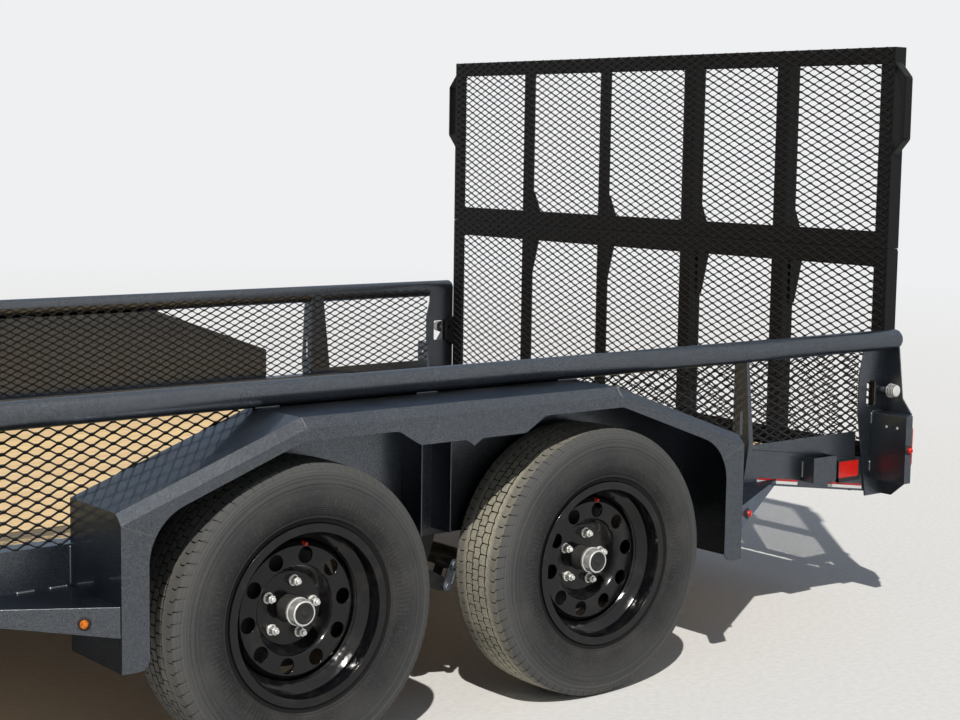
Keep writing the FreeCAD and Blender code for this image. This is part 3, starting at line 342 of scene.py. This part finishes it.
# Painted highlight: weld beads and fender seams get a coat much lighter than the frame's, standing in for
# sunlight on their edges.
highlight_bead_coat = powder_coat("highlight_bead_coat", (0.13, 0.135, 0.14), flake=(0.3, 0.3, 0.31),
                        roughness=0.38, metallic=1.0, coat=0.1)
seal = plain("black_seal", (0.012, 0.012, 0.012), 0.7)
red_tape = lens("red_tape", (0.55, 0.02, 0.02), deep=(0.35, 0.01, 0.01))
white_tape = lens("white_tape", (0.75, 0.75, 0.74), deep=(0.55, 0.55, 0.54))
valve_red = plain("valve_cap_red", (0.55, 0.03, 0.02), 0.4)

# Each CAD node gets the look of its slot, but the latches are coated like the frame. Steel gets
# slightly rounded edges, which catch the light.
slot_of = {row["node"]: row["material_slot"] for row in frame["record"]["subparts"]}
other_look = {"gate_latches": "frame"}
for name, thing in nodes.items():
    thing.data.materials.clear()
    thing.data.materials.append(looks[other_look.get(name, slot_of[name])])
    if slot_of[name] in ("frame", "gate", "wheel", "axle", "zinc"):
        weld = thing.modifiers.new("joined", "WELD")
        weld.merge_threshold = 0.00001
        rounded = thing.modifiers.new("edges", "BEVEL")
        rounded.width, rounded.segments, rounded.limit_method = edge_round, 2, "ANGLE"
        rounded.angle_limit = turned_limit if "rail" in name or "wheel" in name else fold_limit
        rounded.harden_normals = True


# Shapes as (points, faces)
def joined(shapes):
    """Several shapes as one."""
    points, faces, start = [], [], 0
    for shape_points, shape_faces in shapes:
        points.append(np.asarray(shape_points, float).reshape(-1, 3))
        faces += [tuple(i + start for i in face) for face in shape_faces]
        start += len(points[-1])
    return np.concatenate(points), faces


def moved(shape, where, turn=None):
    """A shape turned about the origin and then shifted."""
    points = np.asarray(shape[0], float)
    if turn is not None:
        points = points @ np.array(turn.to_3x3()).T
    return points + np.array(where), shape[1]


def mirrored(shape):
    """A shape's mirror image on the other side of the trailer."""
    points = np.array(shape[0], float)
    points[:, 1] *= -1
    return points, [tuple(reversed(face)) for face in shape[1]]


def both_sides(shapes):
    """Shapes made for the left side, with their mirror images."""
    return shapes + [mirrored(shape) for shape in shapes]


def ring_faces(rings, count):
    """The faces between neighbouring rings of as many points each."""
    faces = []
    for ring in range(rings - 1):
        here, there = ring * count, (ring + 1) * count
        for j in range(count):
            k = (j + 1) % count
            faces.append((here + j, there + j, there + k, here + k))
    return faces


def lathe(profile, segments):
    """A ring about the Y axis from (y, radius) pairs; a radius of 0 closes to a point."""
    angles = np.linspace(0, 2 * math.pi, segments, endpoint=False)
    points = [(r * math.cos(a), y, r * math.sin(a)) for y, r in profile for a in angles]
    return points, ring_faces(len(profile), segments)


def slab(x, y, z):
    """A box from its lowest and highest x, y and z."""
    points = [(a, b, c) for a in x for b in y for c in z]
    return points, [(0, 1, 3, 2), (4, 6, 7, 5), (0, 4, 5, 1), (2, 3, 7, 6), (0, 2, 6, 4), (1, 5, 7, 3)]


def facing(direction):
    """Turns the Y axis to a direction."""
    return Vector(direction).to_track_quat("Y", "Z").to_matrix()


def piece(name, shape, look, body, where=(0, 0, 0), smooth=30, tidy=True):
    """Makes an object that rides with a body. Edges below smooth degrees are shaded round."""
    points, faces = shape
    mesh = bpy.data.meshes.new(name)
    mesh.from_pydata([tuple(p) for p in points], [], faces)
    if tidy:
        work = bmesh.new()
        work.from_mesh(mesh)
        bmesh.ops.remove_doubles(work, verts=work.verts, dist=1e-6)
        bmesh.ops.recalc_face_normals(work, faces=work.faces)
        work.to_mesh(mesh)
        work.free()
    mesh.materials.append(look)
    made = bpy.data.objects.new(name, mesh)
    made.location = where
    scene.collection.objects.link(made)
    if smooth:
        mesh.polygons.foreach_set("use_smooth", [True] * len(mesh.polygons))
        mesh.set_sharp_from_angle(angle=math.radians(smooth))
    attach(made, body)
    return made


def solid_boxes(node):
    """The lowest and highest corners of each separate solid of a node."""
    work = bmesh.new()
    work.from_mesh(nodes[node].data)
    bmesh.ops.remove_doubles(work, verts=work.verts, dist=1e-5)
    left, boxes = set(work.verts), []
    while left:
        group, edge = set(), [left.pop()]
        while edge:
            vert = edge.pop()
            group.add(vert)
            for link in vert.link_edges:
                other = link.other_vert(vert)
                if other in left:
                    left.discard(other)
                    edge.append(other)
        spots = np.array([v.co for v in group])
        boxes.append((Vector(spots.min(0)), Vector(spots.max(0))))
    work.free()
    return boxes


# Expanded metal in place of the coarse sheets
def strands(low, high, along):
    """Zigzag strands over a box, with their long way along one axis and rows going up."""
    normal = 1 - along
    length = high[along] - low[along]
    halves = max(2, round(length / mesh_long * 2))
    half = length / halves
    rows = max(1, int((high.z - low.z) / mesh_row))
    row_height = (high.z - low.z) / rows
    swing = (row_height - strand_width) / 2
    i = np.repeat(np.arange(halves + 1), 2)
    bond = np.tile([-0.5, 0.5], halves + 1) * bond_share * half
    u = low[along] + np.clip(i * half + bond, 0, length)
    c, s = math.cos(strand_tilt), math.sin(strand_tilt)
    w, d = strand_width / 2, strand_depth / 2
    corners = [(a * w * c - b * d * s, a * w * s + b * d * c)
               for a, b in ((-1, -1), (1, -1), (1, 1), (-1, 1))]
    centre = (low[normal] + high[normal]) / 2
    row = np.arange(rows)[:, None]
    v = low.z + (row + 0.5) * row_height + np.where((i[None, :] + row) % 2 == 0, 1, -1) * swing
    points = np.zeros((rows, len(u), 4, 3))
    for k, (up, out) in enumerate(corners):
        points[:, :, k, along] = u[None, :]
        points[:, :, k, normal] = centre + out
        points[:, :, k, 2] = v + up
    faces = []
    for r in range(rows):
        base = r * len(u) * 4
        for j in range(len(u) - 1):
            a, b = base + j * 4, base + j * 4 + 4
            for k in range(4):
                m = (k + 1) % 4
                faces.append((a + k, a + m, b + m, b + k))
    return points.reshape(-1, 3), faces


def expanded_metal(name, node, body, along):
    """Strands over each sheet of a node, in the node's place."""
    sheets = [strands(low, high, along) for low, high in solid_boxes(node)]
    made = piece(name, joined(sheets), looks["mesh"], body, smooth=0, tidy=False)
    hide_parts(node)


expanded_metal("left_expanded_metal", "left_side_mesh", "trailer", 0)
expanded_metal("right_expanded_metal", "right_side_mesh", "trailer", 0)
expanded_metal("front_expanded_metal", "front_mesh", "trailer", 1)
expanded_metal("lower_gate_expanded_metal", "gate_lower_mesh", "gate_lower", 1)
expanded_metal("upper_gate_expanded_metal", "gate_upper_mesh", "gate_upper", 1)


# Tyres
def tread():
    """Five ribs parted by narrow zigzag grooves, cut across by sipes that bend over the shoulders."""
    groove_y, groove_half, slant = (-0.036, -0.012, 0.012, 0.036), 0.0020, 0.0007
    rib_edge, rib_step = 0.0042, 0.001
    sipe, swing, minor_cut = 0.068, 0.0012, 0.75
    # Columns: place across, share of the zigzag, depth at a sipe, own depth, and which sipes cross it
    shoulder = [(-0.0925, 0.10), (-0.0895, 0.45), (-0.0865, 0.5), (-0.0835, 0.5), (-0.0808, 0.5)]
    outer_rib = [(-0.0780, 0.6), (-0.0755, 0.8), (-0.0735, 1.0), (-0.0700, 1.0), (-0.0640, 1.0),
                 (-0.0580, 1.0), (-0.0545, 0.95), (-0.0520, 0.3), (-0.0500, 0.0), (-0.0420, 0.0)]
    columns = [(y, 0.0, cut, 0.0, "shoulder") for y, cut in shoulder]
    columns += [(-0.0802, 0.0, 0.5, 0.3, "shoulder"), (-0.0796, 0.0, 0.5, 0.0, "shoulder")]
    columns += [(y, 0.0, cut, 0.0, "shoulder") for y, cut in outer_rib]
    columns.append((groove_y[0] - groove_half - slant, 1.0, 0.0, 0.0, "shoulder"))
    first_side = list(columns)
    for n, y in enumerate(groove_y):
        columns += [(y - groove_half, 1.0, 1.0, 1.0, "even"), (y + groove_half, 1.0, 1.0, 1.0, "even")]
        if n < len(groove_y) - 1:
            start, end = y + groove_half + slant, groove_y[n + 1] - groove_half - slant
            for place, cut in ((start, 1.0), (start + rib_edge, 0.9), (start + rib_edge + rib_step, 0.55),
                               (end - rib_edge - rib_step, 0.55), (end - rib_edge, 0.9), (end, 1.0)):
                columns.append((place, 1.0, cut, 0.0, "odd" if n % 2 else "even"))
    columns += [(-y, *rest) for y, *rest in reversed(first_side)]

    # Points round the tyre in each pitch, and which of them lies in a sipe
    fractions = np.array([-sipe, 0.0, sipe, 0.25, 0.5 - sipe, 0.5, 0.5 + sipe, 0.75])
    in_sipe = {"shoulder": 1, "even": 1, "odd": 5}
    turns = (np.arange(tread_pitches)[:, None] + fractions[None, :]).reshape(-1)
    zigzag = swing * np.where(np.tile(fractions, tread_pitches) < 0.25, 1, -1)
    shoulder_share = np.where(np.arange(tread_pitches) % 2 == 0, 1.0, minor_cut)
    bend_y, bend_by = ((0.050, 0.055, 0.069, 0.0745, 0.080, 0.0925),
                       (0.0, -0.0050, -0.0060, 0.0030, 0.0030, 0.0080))
    points = np.zeros((len(columns), len(turns), 3))
    for n, (y, bend, cut, own, sipes) in enumerate(columns):
        depth = np.full(len(turns), own * tread_depth)
        share = shoulder_share if sipes == "shoulder" else 1.0
        cuts = slice(in_sipe[sipes], None, len(fractions))
        depth[cuts] = np.maximum(depth[cuts], cut * share * tread_depth)
        radius = np.interp(abs(y), *np.transpose(crown)) - depth
        angle = turns * 2 * math.pi / tread_pitches + np.interp(abs(y), bend_y, bend_by) / tyre_r
        points[n, :, 0] = radius * np.cos(angle)
        points[n, :, 1] = y + zigzag * bend
        points[n, :, 2] = radius * np.sin(angle)
    return points.reshape(-1, 3), ring_faces(len(columns), len(turns))


def sidewall():
    """From under the tread's edge to the bead, with moulded rings."""
    outline = [crown[-1], (0.0958, 0.3140), (0.0985, 0.3010), (0.1008, 0.2860), (0.1022, 0.2710),
               (0.1020, 0.2570), (0.1003, 0.2440), (0.0970, 0.2325), (0.0925, 0.2235),
               (0.0890, 0.2165), (0.0878, 0.2100), (0.0845, 0.2055), (0.0780, 0.1925)]
    # Rings: radius, height and width
    rings = [(0.3170, 0.0016, 0.0014), (0.2980, 0.0018, 0.0026), (0.2925, 0.0012, 0.0012)]
    rings += [(0.2290 + 0.0042 * i, 0.0012, 0.0009) for i in range(6)]
    rings.append((0.2215, 0.0024, 0.0018))
    rows, smoothings = 130, 4
    ys, rs = np.array(outline).T
    steps = np.linspace(0, len(outline) - 1, rows)
    y = np.interp(steps, range(len(outline)), ys)
    r = np.interp(steps, range(len(outline)), rs)
    for _ in range(smoothings):
        y[1:-1] = (y[:-2] + 2 * y[1:-1] + y[2:]) / 4
        r[1:-1] = (r[:-2] + 2 * r[1:-1] + r[2:]) / 4
    for centre, height, width in rings:
        y += height * np.exp(-((r - centre) / width) ** 2)
    return lathe(list(zip(y, r)), 120)


side_shape = sidewall()
tyre_shape = joined([tread(), side_shape, mirrored(side_shape)])
for place, (centre, side) in wheels.items():
    # The rear tyres carry the lighter dust, part of it painted sunlight.
    look = sunlit_dusty_tyre if place.startswith("rear") else looks["tyre"]
    made = piece("detailed_tyre_" + place, tyre_shape, look, "wheel_%s_body" % place,
                 where=centre, smooth=38)
    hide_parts("tyre_" + place)


# Hub caps, lug nuts and valve stems
def lug_nut():
    """A hex nut with a chamfered face, a cone seat and the stud's end."""
    body = lathe([(0.004, 0.0), (0.004, 0.0113), (0.0185, 0.0113), (0.0204, 0.0096), (0.0204, 0.0)], 6)
    seat = lathe([(-0.004, 0.0108), (0.004, 0.0132), (0.0052, 0.0128), (0.0052, 0.0)], 24)
    stud = lathe([(0.018, 0.0062), (0.0278, 0.0062), (0.0288, 0.0050), (0.0288, 0.0)], 16)
    return joined([body, seat, stud])


def on_side(shape, side):
    """A shape made for the left wheels, or its mirror image for the right ones."""
    return shape if side > 0 else mirrored(shape)


def lug_nuts():
    """A ring of nuts, each square to its own stud."""
    spin = Matrix.Rotation(-lug_turn, 3, "Y")
    nuts = []
    for i in range(lug_count):
        angle = 2 * math.pi * i / lug_count + lug_turn
        nuts.append(moved(lug_nut(), (lug_circle * math.cos(angle), 0, lug_circle * math.sin(angle)), spin))
    return joined(nuts)


def bearing_cap():
    """The zinc cup over the hub's end, with a rolled lip."""
    return lathe([(0.0385, 0.0300), (0.0385, 0.0322), (0.0440, 0.0325), (0.0450, 0.0306),
                  (0.0640, 0.0298), (0.0668, 0.0290), (0.0682, 0.0270), (0.0678, 0.0250),
                  (0.0664, 0.0238), (0.0640, 0.0232)], 64)


def cap_plug():
    """The rubber plug in the cup, with its pull tab."""
    return lathe([(0.0660, 0.0240), (0.0690, 0.0232), (0.0692, 0.0190), (0.0676, 0.0170),
                  (0.0676, 0.0075), (0.0700, 0.0062), (0.0712, 0.0030), (0.0712, 0.0)], 48)


valve_stem = lathe([(0, 0.0065), (0.004, 0.0075), (0.012, 0.0042), (0.024, 0.0036), (0.024, 0.0)], 20)
valve_cap = lathe([(0.022, 0.0045), (0.0235, 0.0050), (0.0345, 0.0048), (0.0355, 0.0040),
                   (0.0355, 0.0)], 12)
valve_circle, valve_out, valve_angle = 0.158, 0.006, math.radians(95)
for place, (centre, side) in wheels.items():
    body = "wheel_%s_body" % place
    piece("lug_nuts_" + place, on_side(lug_nuts(), side), looks["zinc"], body,
          where=centre, smooth=35)
    piece("bearing_cap_" + place, on_side(bearing_cap(), side), looks["zinc"], body, where=centre)
    piece("cap_plug_" + place, on_side(cap_plug(), side), seal, body, where=centre)
    lean = facing((-0.28, 0.92 * side, -0.22))
    foot = (valve_circle * math.cos(valve_angle), valve_out * side, valve_circle * math.sin(valve_angle))
    piece("valve_stem_" + place, moved(valve_stem, foot, lean), seal, body, where=centre)
    piece("valve_cap_" + place, moved(valve_cap, foot, lean), valve_red, body, where=centre)


# Lamps at the sides
def marker_lamp():
    """A domed lens in a rubber grommet, facing along Y from its base."""
    dome = lathe([(0.0, 0.0092), (0.0075, 0.0092), (0.0105, 0.0080), (0.0125, 0.0055), (0.0133, 0.0)], 32)
    grommet = lathe([(0.0, 0.0145), (0.0028, 0.0143), (0.0044, 0.0128), (0.0046, 0.0112),
                     (0.0030, 0.0098), (0.0015, 0.0096)], 32)
    return dome, grommet


def marker_lamps(node, look):
    """Lamps in the places of a node's solids; those on the braces face as the braces do."""
    square_width, base_depth = 0.020, 0.0058
    low, high = solid_boxes("fender_braces")[0]
    along, out = high.x - low.x, high.y - low.y
    domes, grommets = [], []
    for a, b in solid_boxes(node):
        middle = (a + b) / 2
        side = 1 if middle.y > 0 else -1
        way = Vector((0, side, 0))
        if b.x - a.x > square_width:
            end = 1 if middle.x > fender_middle else -1
            way = Vector((end * out, side * along, 0)).normalized()
        base = middle - way * base_depth
        dome, grommet = marker_lamp()
        domes.append(moved(dome, base, facing(way)))
        grommets.append(moved(grommet, base, facing(way)))
    made = piece(node + "_domes", joined(domes), look, "trailer")
    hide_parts(node)
    piece(node + "_grommets", joined(grommets), seal, "trailer")


marker_lamps("amber_marker_lamps", looks["amber"])
marker_lamps("red_marker_lamps", looks["red"])


# Weld beads, in the lighter bead coat as a painted highlight
def bead(start, end, r=0.0035):
    """A ripple-faced bead between two points."""
    ripple, small, large, at_ends = 0.0022, 0.86, 1.06, 0.5
    start, end = Vector(start), Vector(end)
    way = end - start
    rings = max(6, int(way.length / ripple))
    profile = [(0.0, 0.0)]
    for i in range(rings + 1):
        swell = large if i % 2 else small
        if i in (0, rings):
            swell = at_ends
        profile.append((way.length * i / rings, r * swell))
    profile.append((way.length, 0.0))
    return moved(lathe(profile, 8), start, facing(way))


def rail_beads():
    """The left rail on the fender's top, and on each upright."""
    spacing, half, off_centre, lift = 0.45, 0.032, 0.0085, 0.0012
    side_from = frame_side - 0.068   # the left side's uprights stand farther out than this
    low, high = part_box("left_top_rail")
    rail_y = high.y - (high.z - low.z) / 2
    beads = []
    for along in (-spacing, 0.0, spacing):
        x = fender_middle + along
        z = fender_top + lift
        for out in (-off_centre, off_centre):
            beads.append(bead((x - half, rail_y + out, z), (x + half, rail_y + out, z), 0.0042))
    z = low.z + 0.004
    for a, b in solid_boxes("uprights"):
        if a.y > side_from:
            x = b.x + 0.002
            beads.append(bead((x, rail_y - 0.020, z), (x, rail_y + 0.014, z)))
            y = a.y + 0.004
            beads.append(bead((b.x - 0.050, y, z + 0.004), (b.x - 0.006, y, z + 0.004), 0.003))
    return beads


def frame_beads():
    """The left fender's ends and braces on the frame's side."""
    brace_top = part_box("fender_braces")[1].z
    frame_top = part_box("frame_side_members")[1].z
    clear = 0.004
    beads = []
    for end in (1, -1):
        corner = fender_middle + end * fender_half
        x, y = corner + end * 0.001, frame_side + 0.001
        beads.append(bead((x, y, brace_top + clear), (x, y, frame_top - clear), 0.0028))
        y, z = frame_side + 0.002, brace_top + 0.001
        for along in (0.010, 0.085):
            first, last = corner + end * along, corner + end * (along + 0.042)
            beads.append(bead((first, y, z), (last, y, z), 0.0045))
    return beads


def post_beads():
    """The left lamp box on its post, and the stake pockets on the frame."""
    low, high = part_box("lamp_boxes")
    y = frame_side + 0.006
    x = high.x + 0.001
    beads = [bead((x, y, first), (x, y, last), 0.0038)
             for first, last in ((high.z - 0.036, high.z - 0.002), (low.z + 0.022, low.z + 0.052))]
    z = high.z + 0.001
    beads.append(bead((high.x - 0.045, y, z), (high.x - 0.002, y, z)))
    low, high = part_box("stake_pockets")
    x, y, inset = high.x + 0.002, frame_side + 0.003, 0.012
    beads.append(bead((x, y, low.z + inset), (x, y, high.z - inset), 0.0045))
    return beads


weld_bead_highlights = joined(both_sides(rail_beads() + frame_beads() + post_beads()))
piece("weld_bead_highlights", weld_bead_highlights, highlight_bead_coat, "trailer", smooth=60)


# Seams where each fender was folded and welded, drawn in the lighter bead coat as painted highlights
def fender_seam_highlights():
    """Lines on the skirt's ends and down the folds between its slopes and its flat top, coated light as a
    painted highlight.
    """
    chamfer, fold_in, fold_down = 0.022, 0.4490, 0.048
    end_down, foot_down, end_run = 0.185, 0.2145, 0.0765
    y = fender_face
    seams = []
    for end in (1, -1):
        x = fender_middle + end * fender_half
        seams.append(bead((x - end * 0.001, y, fender_top - end_down),
                          (x - end * end_run, y, fender_top - foot_down), 0.0013))
        fold = x - end * fold_in
        below = (fold, y, fender_top - chamfer)
        seams.append(bead((fold, y - chamfer, fender_top), below, 0.0013))
        seams.append(bead(below, (fold, y, fender_top - fold_down), 0.0010))
    return joined(both_sides(seams))


piece("fender_seam_highlights", fender_seam_highlights(), highlight_bead_coat, "trailer", smooth=60)


# Bolts and screws
def hex_head(across, high):
    """A bolt's head on its washer, facing along Y."""
    r = across / 2 / math.cos(math.pi / 6)
    washer, thick = r * 1.28, 0.0016
    return joined([lathe([(0.0, washer), (thick, washer), (thick, 0.0)], 24),
                   lathe([(0.0, r), (high * 0.85, r), (high, r * 0.86), (high, 0.0)], 6)])


def spring_bolts():
    """Bolts through the outer spring hangers, and the nuts under the axle clamps."""
    outer_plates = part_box("spring_hangers")[1].y - 0.004   # only they reach farther out on the left
    eye_up, clamp_half = 0.022, 0.038
    down = facing((0, 0, -1))
    heads = []
    for a, b in solid_boxes("spring_hangers"):
        if b.y > outer_plates:
            heads.append(moved(hex_head(0.022, 0.009), ((a.x + b.x) / 2, b.y, a.z + eye_up)))
    for a, b in solid_boxes("axle_clamps"):
        if a.y > 0:
            for out in (-clamp_half, clamp_half):
                place = ((a.x + b.x) / 2 + out, a.y + 0.006, a.z + 0.010)
                heads.append(moved(hex_head(0.019, 0.010), place, down))
    return joined(both_sides(heads))


piece("spring_bolts", spring_bolts(), looks["zinc"], "trailer", smooth=35)


def box_screws():
    """Small pan heads on the front of each lamp box."""
    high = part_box("lamp_boxes")[1]
    head = lathe([(0.0, 0.0042), (0.0016, 0.0040), (0.0026, 0.0022), (0.0028, 0.0)], 16)
    insets, down = (0.073, 0.033), 0.038
    ahead = facing((1, 0, 0))
    return joined(both_sides([moved(head, (high.x, high.y - inset, high.z - down), ahead)
                              for inset in insets]))


piece("lamp_box_screws", box_screws(), looks["zinc"], "trailer")


def deck_screws():
    """Two flat heads in each board over each cross member."""
    head = lathe([(0.0, 0.0048), (0.0006, 0.0046), (0.0002, 0.0020), (0.0002, 0.0)], 12)
    off_middle, sunk = 0.055, 0.0002
    up = facing((0, 0, 1))
    rows = sorted({round((a.x + b.x) / 2, 3) for a, b in solid_boxes("deck_cross_members")
                   if deck_low.x < a.x and b.x < deck_high.x})
    screws = []
    for x in rows:
        for i in range(board_count):
            middle = deck_low.y + (i + 0.5) * board_pitch - board_gap / 2
            for out in (-off_middle, off_middle):
                screws.append(moved(head, (x, middle + out, deck_high.z - sunk), up))
    return joined(screws)


piece("deck_screws", deck_screws(), looks["zinc"], "trailer", smooth=0)


# A lip that closes the seam between the two halves of the gate
def seam_lip():
    """A bar that stands on the lower panel's top, inside the panels' outer faces."""
    low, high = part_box("gate_lower_frame")
    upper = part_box("gate_upper_frame")[0].z
    inset, back_inset, gap = 0.001, 0.003, 0.0008
    return slab((low.x + back_inset, high.x - inset), (low.y + inset, high.y - inset),
                (high.z - inset, upper - gap))


piece("gate_seam_lip", seam_lip(), looks["gate"], "gate_lower", smooth=0)


# Outer faces and bolts of the spring links, in zinc darkened as painted shade
def link_face(low, high, half):
    """A flat face with round ends between two pins, inside a raised rim; both are (x, z)."""
    low, high = Vector(low), Vector(high)
    way = math.atan2(high.y - low.y, high.x - low.x)
    rows = [(0.0, half), (0.0018, half), (0.0018, half - 0.0028), (0.0008, half - 0.0036), (0.0008, 0.0)]
    steps = 32
    points = []
    for y, r in rows:
        for k in range(steps):
            angle = 2 * math.pi * (k + 0.5) / steps
            pin = high if math.cos(angle) > 0 else low
            points.append((pin.x + r * math.cos(way + angle), y, pin.y + r * math.sin(way + angle)))
    return points, ring_faces(len(rows), steps)


def spring_links():
    """Links from both ends of each equalizer down to the springs' eyes, with a bolt at each end."""
    low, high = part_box("equalizers")
    half, lean, drop = 0.013, 0.020, 0.0534
    middle = (low.x + high.x) / 2
    shapes = []
    for end in (-1, 1):
        eye = (middle + end * ((high.x - low.x) / 2 - half), high.z - half)
        foot = (eye[0] - end * lean, eye[1] - drop)
        shapes.append(moved(link_face(foot, eye, half), (0, high.y, 0)))
        for x, z in (eye, foot):
            shapes.append(moved(hex_head(0.017, 0.007), (x, high.y + 0.0008, z)))
    return joined(both_sides(shapes))


piece("spring_link_faces", spring_links(), shaded_zinc, "trailer", smooth=35)


# Ribbed latch knobs
rib_count = 4
rib_pitch = 0.0060


def left_knob():
    """The radius of the left latch's knob, and the middle of its outer end."""
    a, b = [pair for pair in solid_boxes("gate_latches") if pair[0].y > 0][0]
    middle = (a + b) / 2
    return (b.z - a.z) / 2, (middle.x, b.y, middle.z)


def knob_ribs():
    """Rounded ribs that grow smaller towards the knob's domed end."""
    r, end = left_knob()
    profile = [(-0.0245, 0.006), (-0.0245, r - 0.001)]
    for i in range(rib_count):
        y = -0.0242 + rib_pitch * i
        rim = r + 0.0034 - 0.0008 * i
        profile += [(y, rim - 0.0006), (y + 0.0006, rim), (y + 0.0022, rim), (y + 0.0028, r + 0.0002),
                    (y + 0.0056, r + 0.0002)]
    profile += [(0.0005, r - 0.001), (0.0022, r - 0.006), (0.0026, 0.0)]
    return joined(both_sides([moved(lathe(profile, 40), end)]))


def shaded_knob_grooves():
    """Painted shade: dark bands at the bottoms between the ribs."""
    r, end = left_knob()
    first, last, lift = -0.0212, -0.0188, 0.0006
    bands = [lathe([(first + rib_pitch * i, r + lift), (last + rib_pitch * i, r + lift)], 40)
             for i in range(rib_count)]
    return joined(both_sides([moved(band, end) for band in bands]))


piece("latch_knobs", knob_ribs(), looks["zinc"], "trailer", smooth=25)
# Painted shade between the knob's ribs.
piece("latch_knob_groove_shade", shaded_knob_grooves(), seal, "trailer")


# Reflectors and tape on the dovetail's sides
def reflector_frames():
    """The dark edge round each reflector, wider at its foot."""
    low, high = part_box("red_side_reflectors")
    rim, foot, lap = 0.0025, 0.012, 0.001
    x = (low.x - rim, high.x + rim)
    y = (low.y + 0.001, high.y + 0.0008)
    bars = [slab(x, y, (high.z - lap, high.z + rim)), slab(x, y, (low.z - lap, low.z + foot)),
            slab((low.x - rim, low.x + lap), y, (low.z, high.z)),
            slab((high.x - lap, high.x + rim), y, (low.z, high.z))]
    return joined(both_sides(bars))


piece("reflector_frames", reflector_frames(), seal, "trailer", smooth=0)


def tape(low_edge, height):
    """Two strips along the lower edge of the dovetail's side."""
    thick = 0.0007
    faces = [(0, 2, 4, 6), (1, 7, 5, 3), (0, 1, 3, 2), (2, 3, 5, 4), (4, 5, 7, 6), (6, 7, 1, 0)]
    strips = []
    for first, last in ((-0.006, -0.180), (-0.315, -0.470)):
        corners = []
        for x, up in ((first, low_edge), (last, low_edge), (last, low_edge + height),
                      (first, low_edge + height)):
            z = frame_low + x * tail_slope + up
            corners += [(dovetail_start + x, y, z) for y in (frame_side, frame_side + thick)]
        strips.append((corners, faces))
    return joined(both_sides(strips))


piece("white_tape_strips", tape(0.006, 0.0085), white_tape, "trailer", smooth=0)
piece("red_tape_strips", tape(0.0150, 0.0055), red_tape, "trailer", smooth=0)


# Floor, lights and camera
def any_ray(tree, kinds):
    """A value of 1 where the ray is of any of the kinds, in a material's or a world's node tree."""
    path = tree.nodes.new("ShaderNodeLightPath").outputs
    seen = path[kinds[0]]
    for kind in kinds[1:]:
        either = tree.nodes.new("ShaderNodeMath")
        either.operation = "MAXIMUM"
        tree.links.new(seen, either.inputs[0])
        tree.links.new(path[kind], either.inputs[1])
        seen = either.outputs[0]
    return seen


sky_colour = (0.86, 0.87, 0.88)
ambient_colour = (0.18, 0.21, 0.26)
looked_at = ("Is Camera Ray", "Is Glossy Ray", "Is Transmission Ray")

# The floor fades into the sky's colour far away, and still lights the trailer as a floor does
reach, fade_start, fade_end = 60.0, 5.0, 16.0
ground = bpy.data.meshes.new("floor")
square = [(-reach, -reach, 0), (reach, -reach, 0), (reach, reach, 0), (-reach, reach, 0)]
ground.from_pydata(square, [], [(0, 1, 2, 3)])
floor = bpy.data.objects.new("floor", ground)
scene.collection.objects.link(floor)
paint = Paint("pale_floor", (0.72, 0.71, 0.69), 0.9)
grit = paint.ramp(paint.noise(55, detail=4), 0.35, 0.65)
paint.wire("Base Color", paint.mix(grit, (0.70, 0.69, 0.67), (0.76, 0.75, 0.73)))
x, y, _ = paint.split(paint.spot())
fade = paint.ramp(from_middle(paint, x, y), fade_start, fade_end)
fade = paint.times(fade, any_ray(paint.tree, looked_at))
glow = paint.node("Emission", [("Color", (*sky_colour, 1)), ("Strength", 1.0)]).outputs[0]
blend = paint.node("MixShader", [(0, fade), (1, paint.shader.outputs[0]), (2, glow)]).outputs[0]
paint.tree.links.new(blend, paint.tree.nodes["Material Output"].inputs["Surface"])
ground.materials.append(paint.material)

# The sky is pale where it is seen or mirrored, and darker and bluer in the light that it gives
world = bpy.data.worlds.new("pale_sky")
scene.world = world
world.use_nodes = True
sky = world.node_tree
background = sky.nodes["Background"]
background.inputs["Strength"].default_value = 1.0
tint = sky.nodes.new("ShaderNodeMix")
tint.data_type = "RGBA"
tint.inputs[6].default_value = (*ambient_colour, 1)
tint.inputs[7].default_value = (*sky_colour, 1)
sky.links.new(any_ray(sky, looked_at), tint.inputs[0])
sky.links.new(tint.outputs[2], background.inputs["Color"])

sun_data = bpy.data.lights.new("key_sun", "SUN")
sun_data.energy = 3.6
sun_data.color = (1.0, 0.965, 0.91)
sun_data.angle = math.radians(0.8)
sun = bpy.data.objects.new("key_sun", sun_data)
sun.rotation_euler = Vector((-0.42, -0.50, -0.75)).to_track_quat("-Z", "Y").to_euler()
scene.collection.objects.link(sun)

# The camera stands where the photograph was taken from
camera_at = Vector((1.4032, 4.5851, 1.3912))
camera_yaw, camera_pitch, camera_roll = (math.radians(a) for a in (-128.911, -6.777, 0.853))
lens_mm = 68.67
level = math.cos(camera_pitch)
forward = Vector((math.cos(camera_yaw) * level, math.sin(camera_yaw) * level, math.sin(camera_pitch)))
right = forward.cross(Vector((0, 0, 1))).normalized()
above = right.cross(forward)
turned_right = math.cos(camera_roll) * right + math.sin(camera_roll) * above
turned_up = -math.sin(camera_roll) * right + math.cos(camera_roll) * above
camera_data = bpy.data.cameras.new("photo_view")
camera_data.lens = lens_mm
camera_data.clip_end = 200
camera = bpy.data.objects.new("photo_view", camera_data)
turn = Matrix((turned_right, turned_up, -forward)).transposed().to_4x4()
camera.matrix_world = Matrix.Translation(camera_at) @ turn
scene.collection.objects.link(camera)
scene.camera = camera
scene.view_settings.view_transform = "Standard"
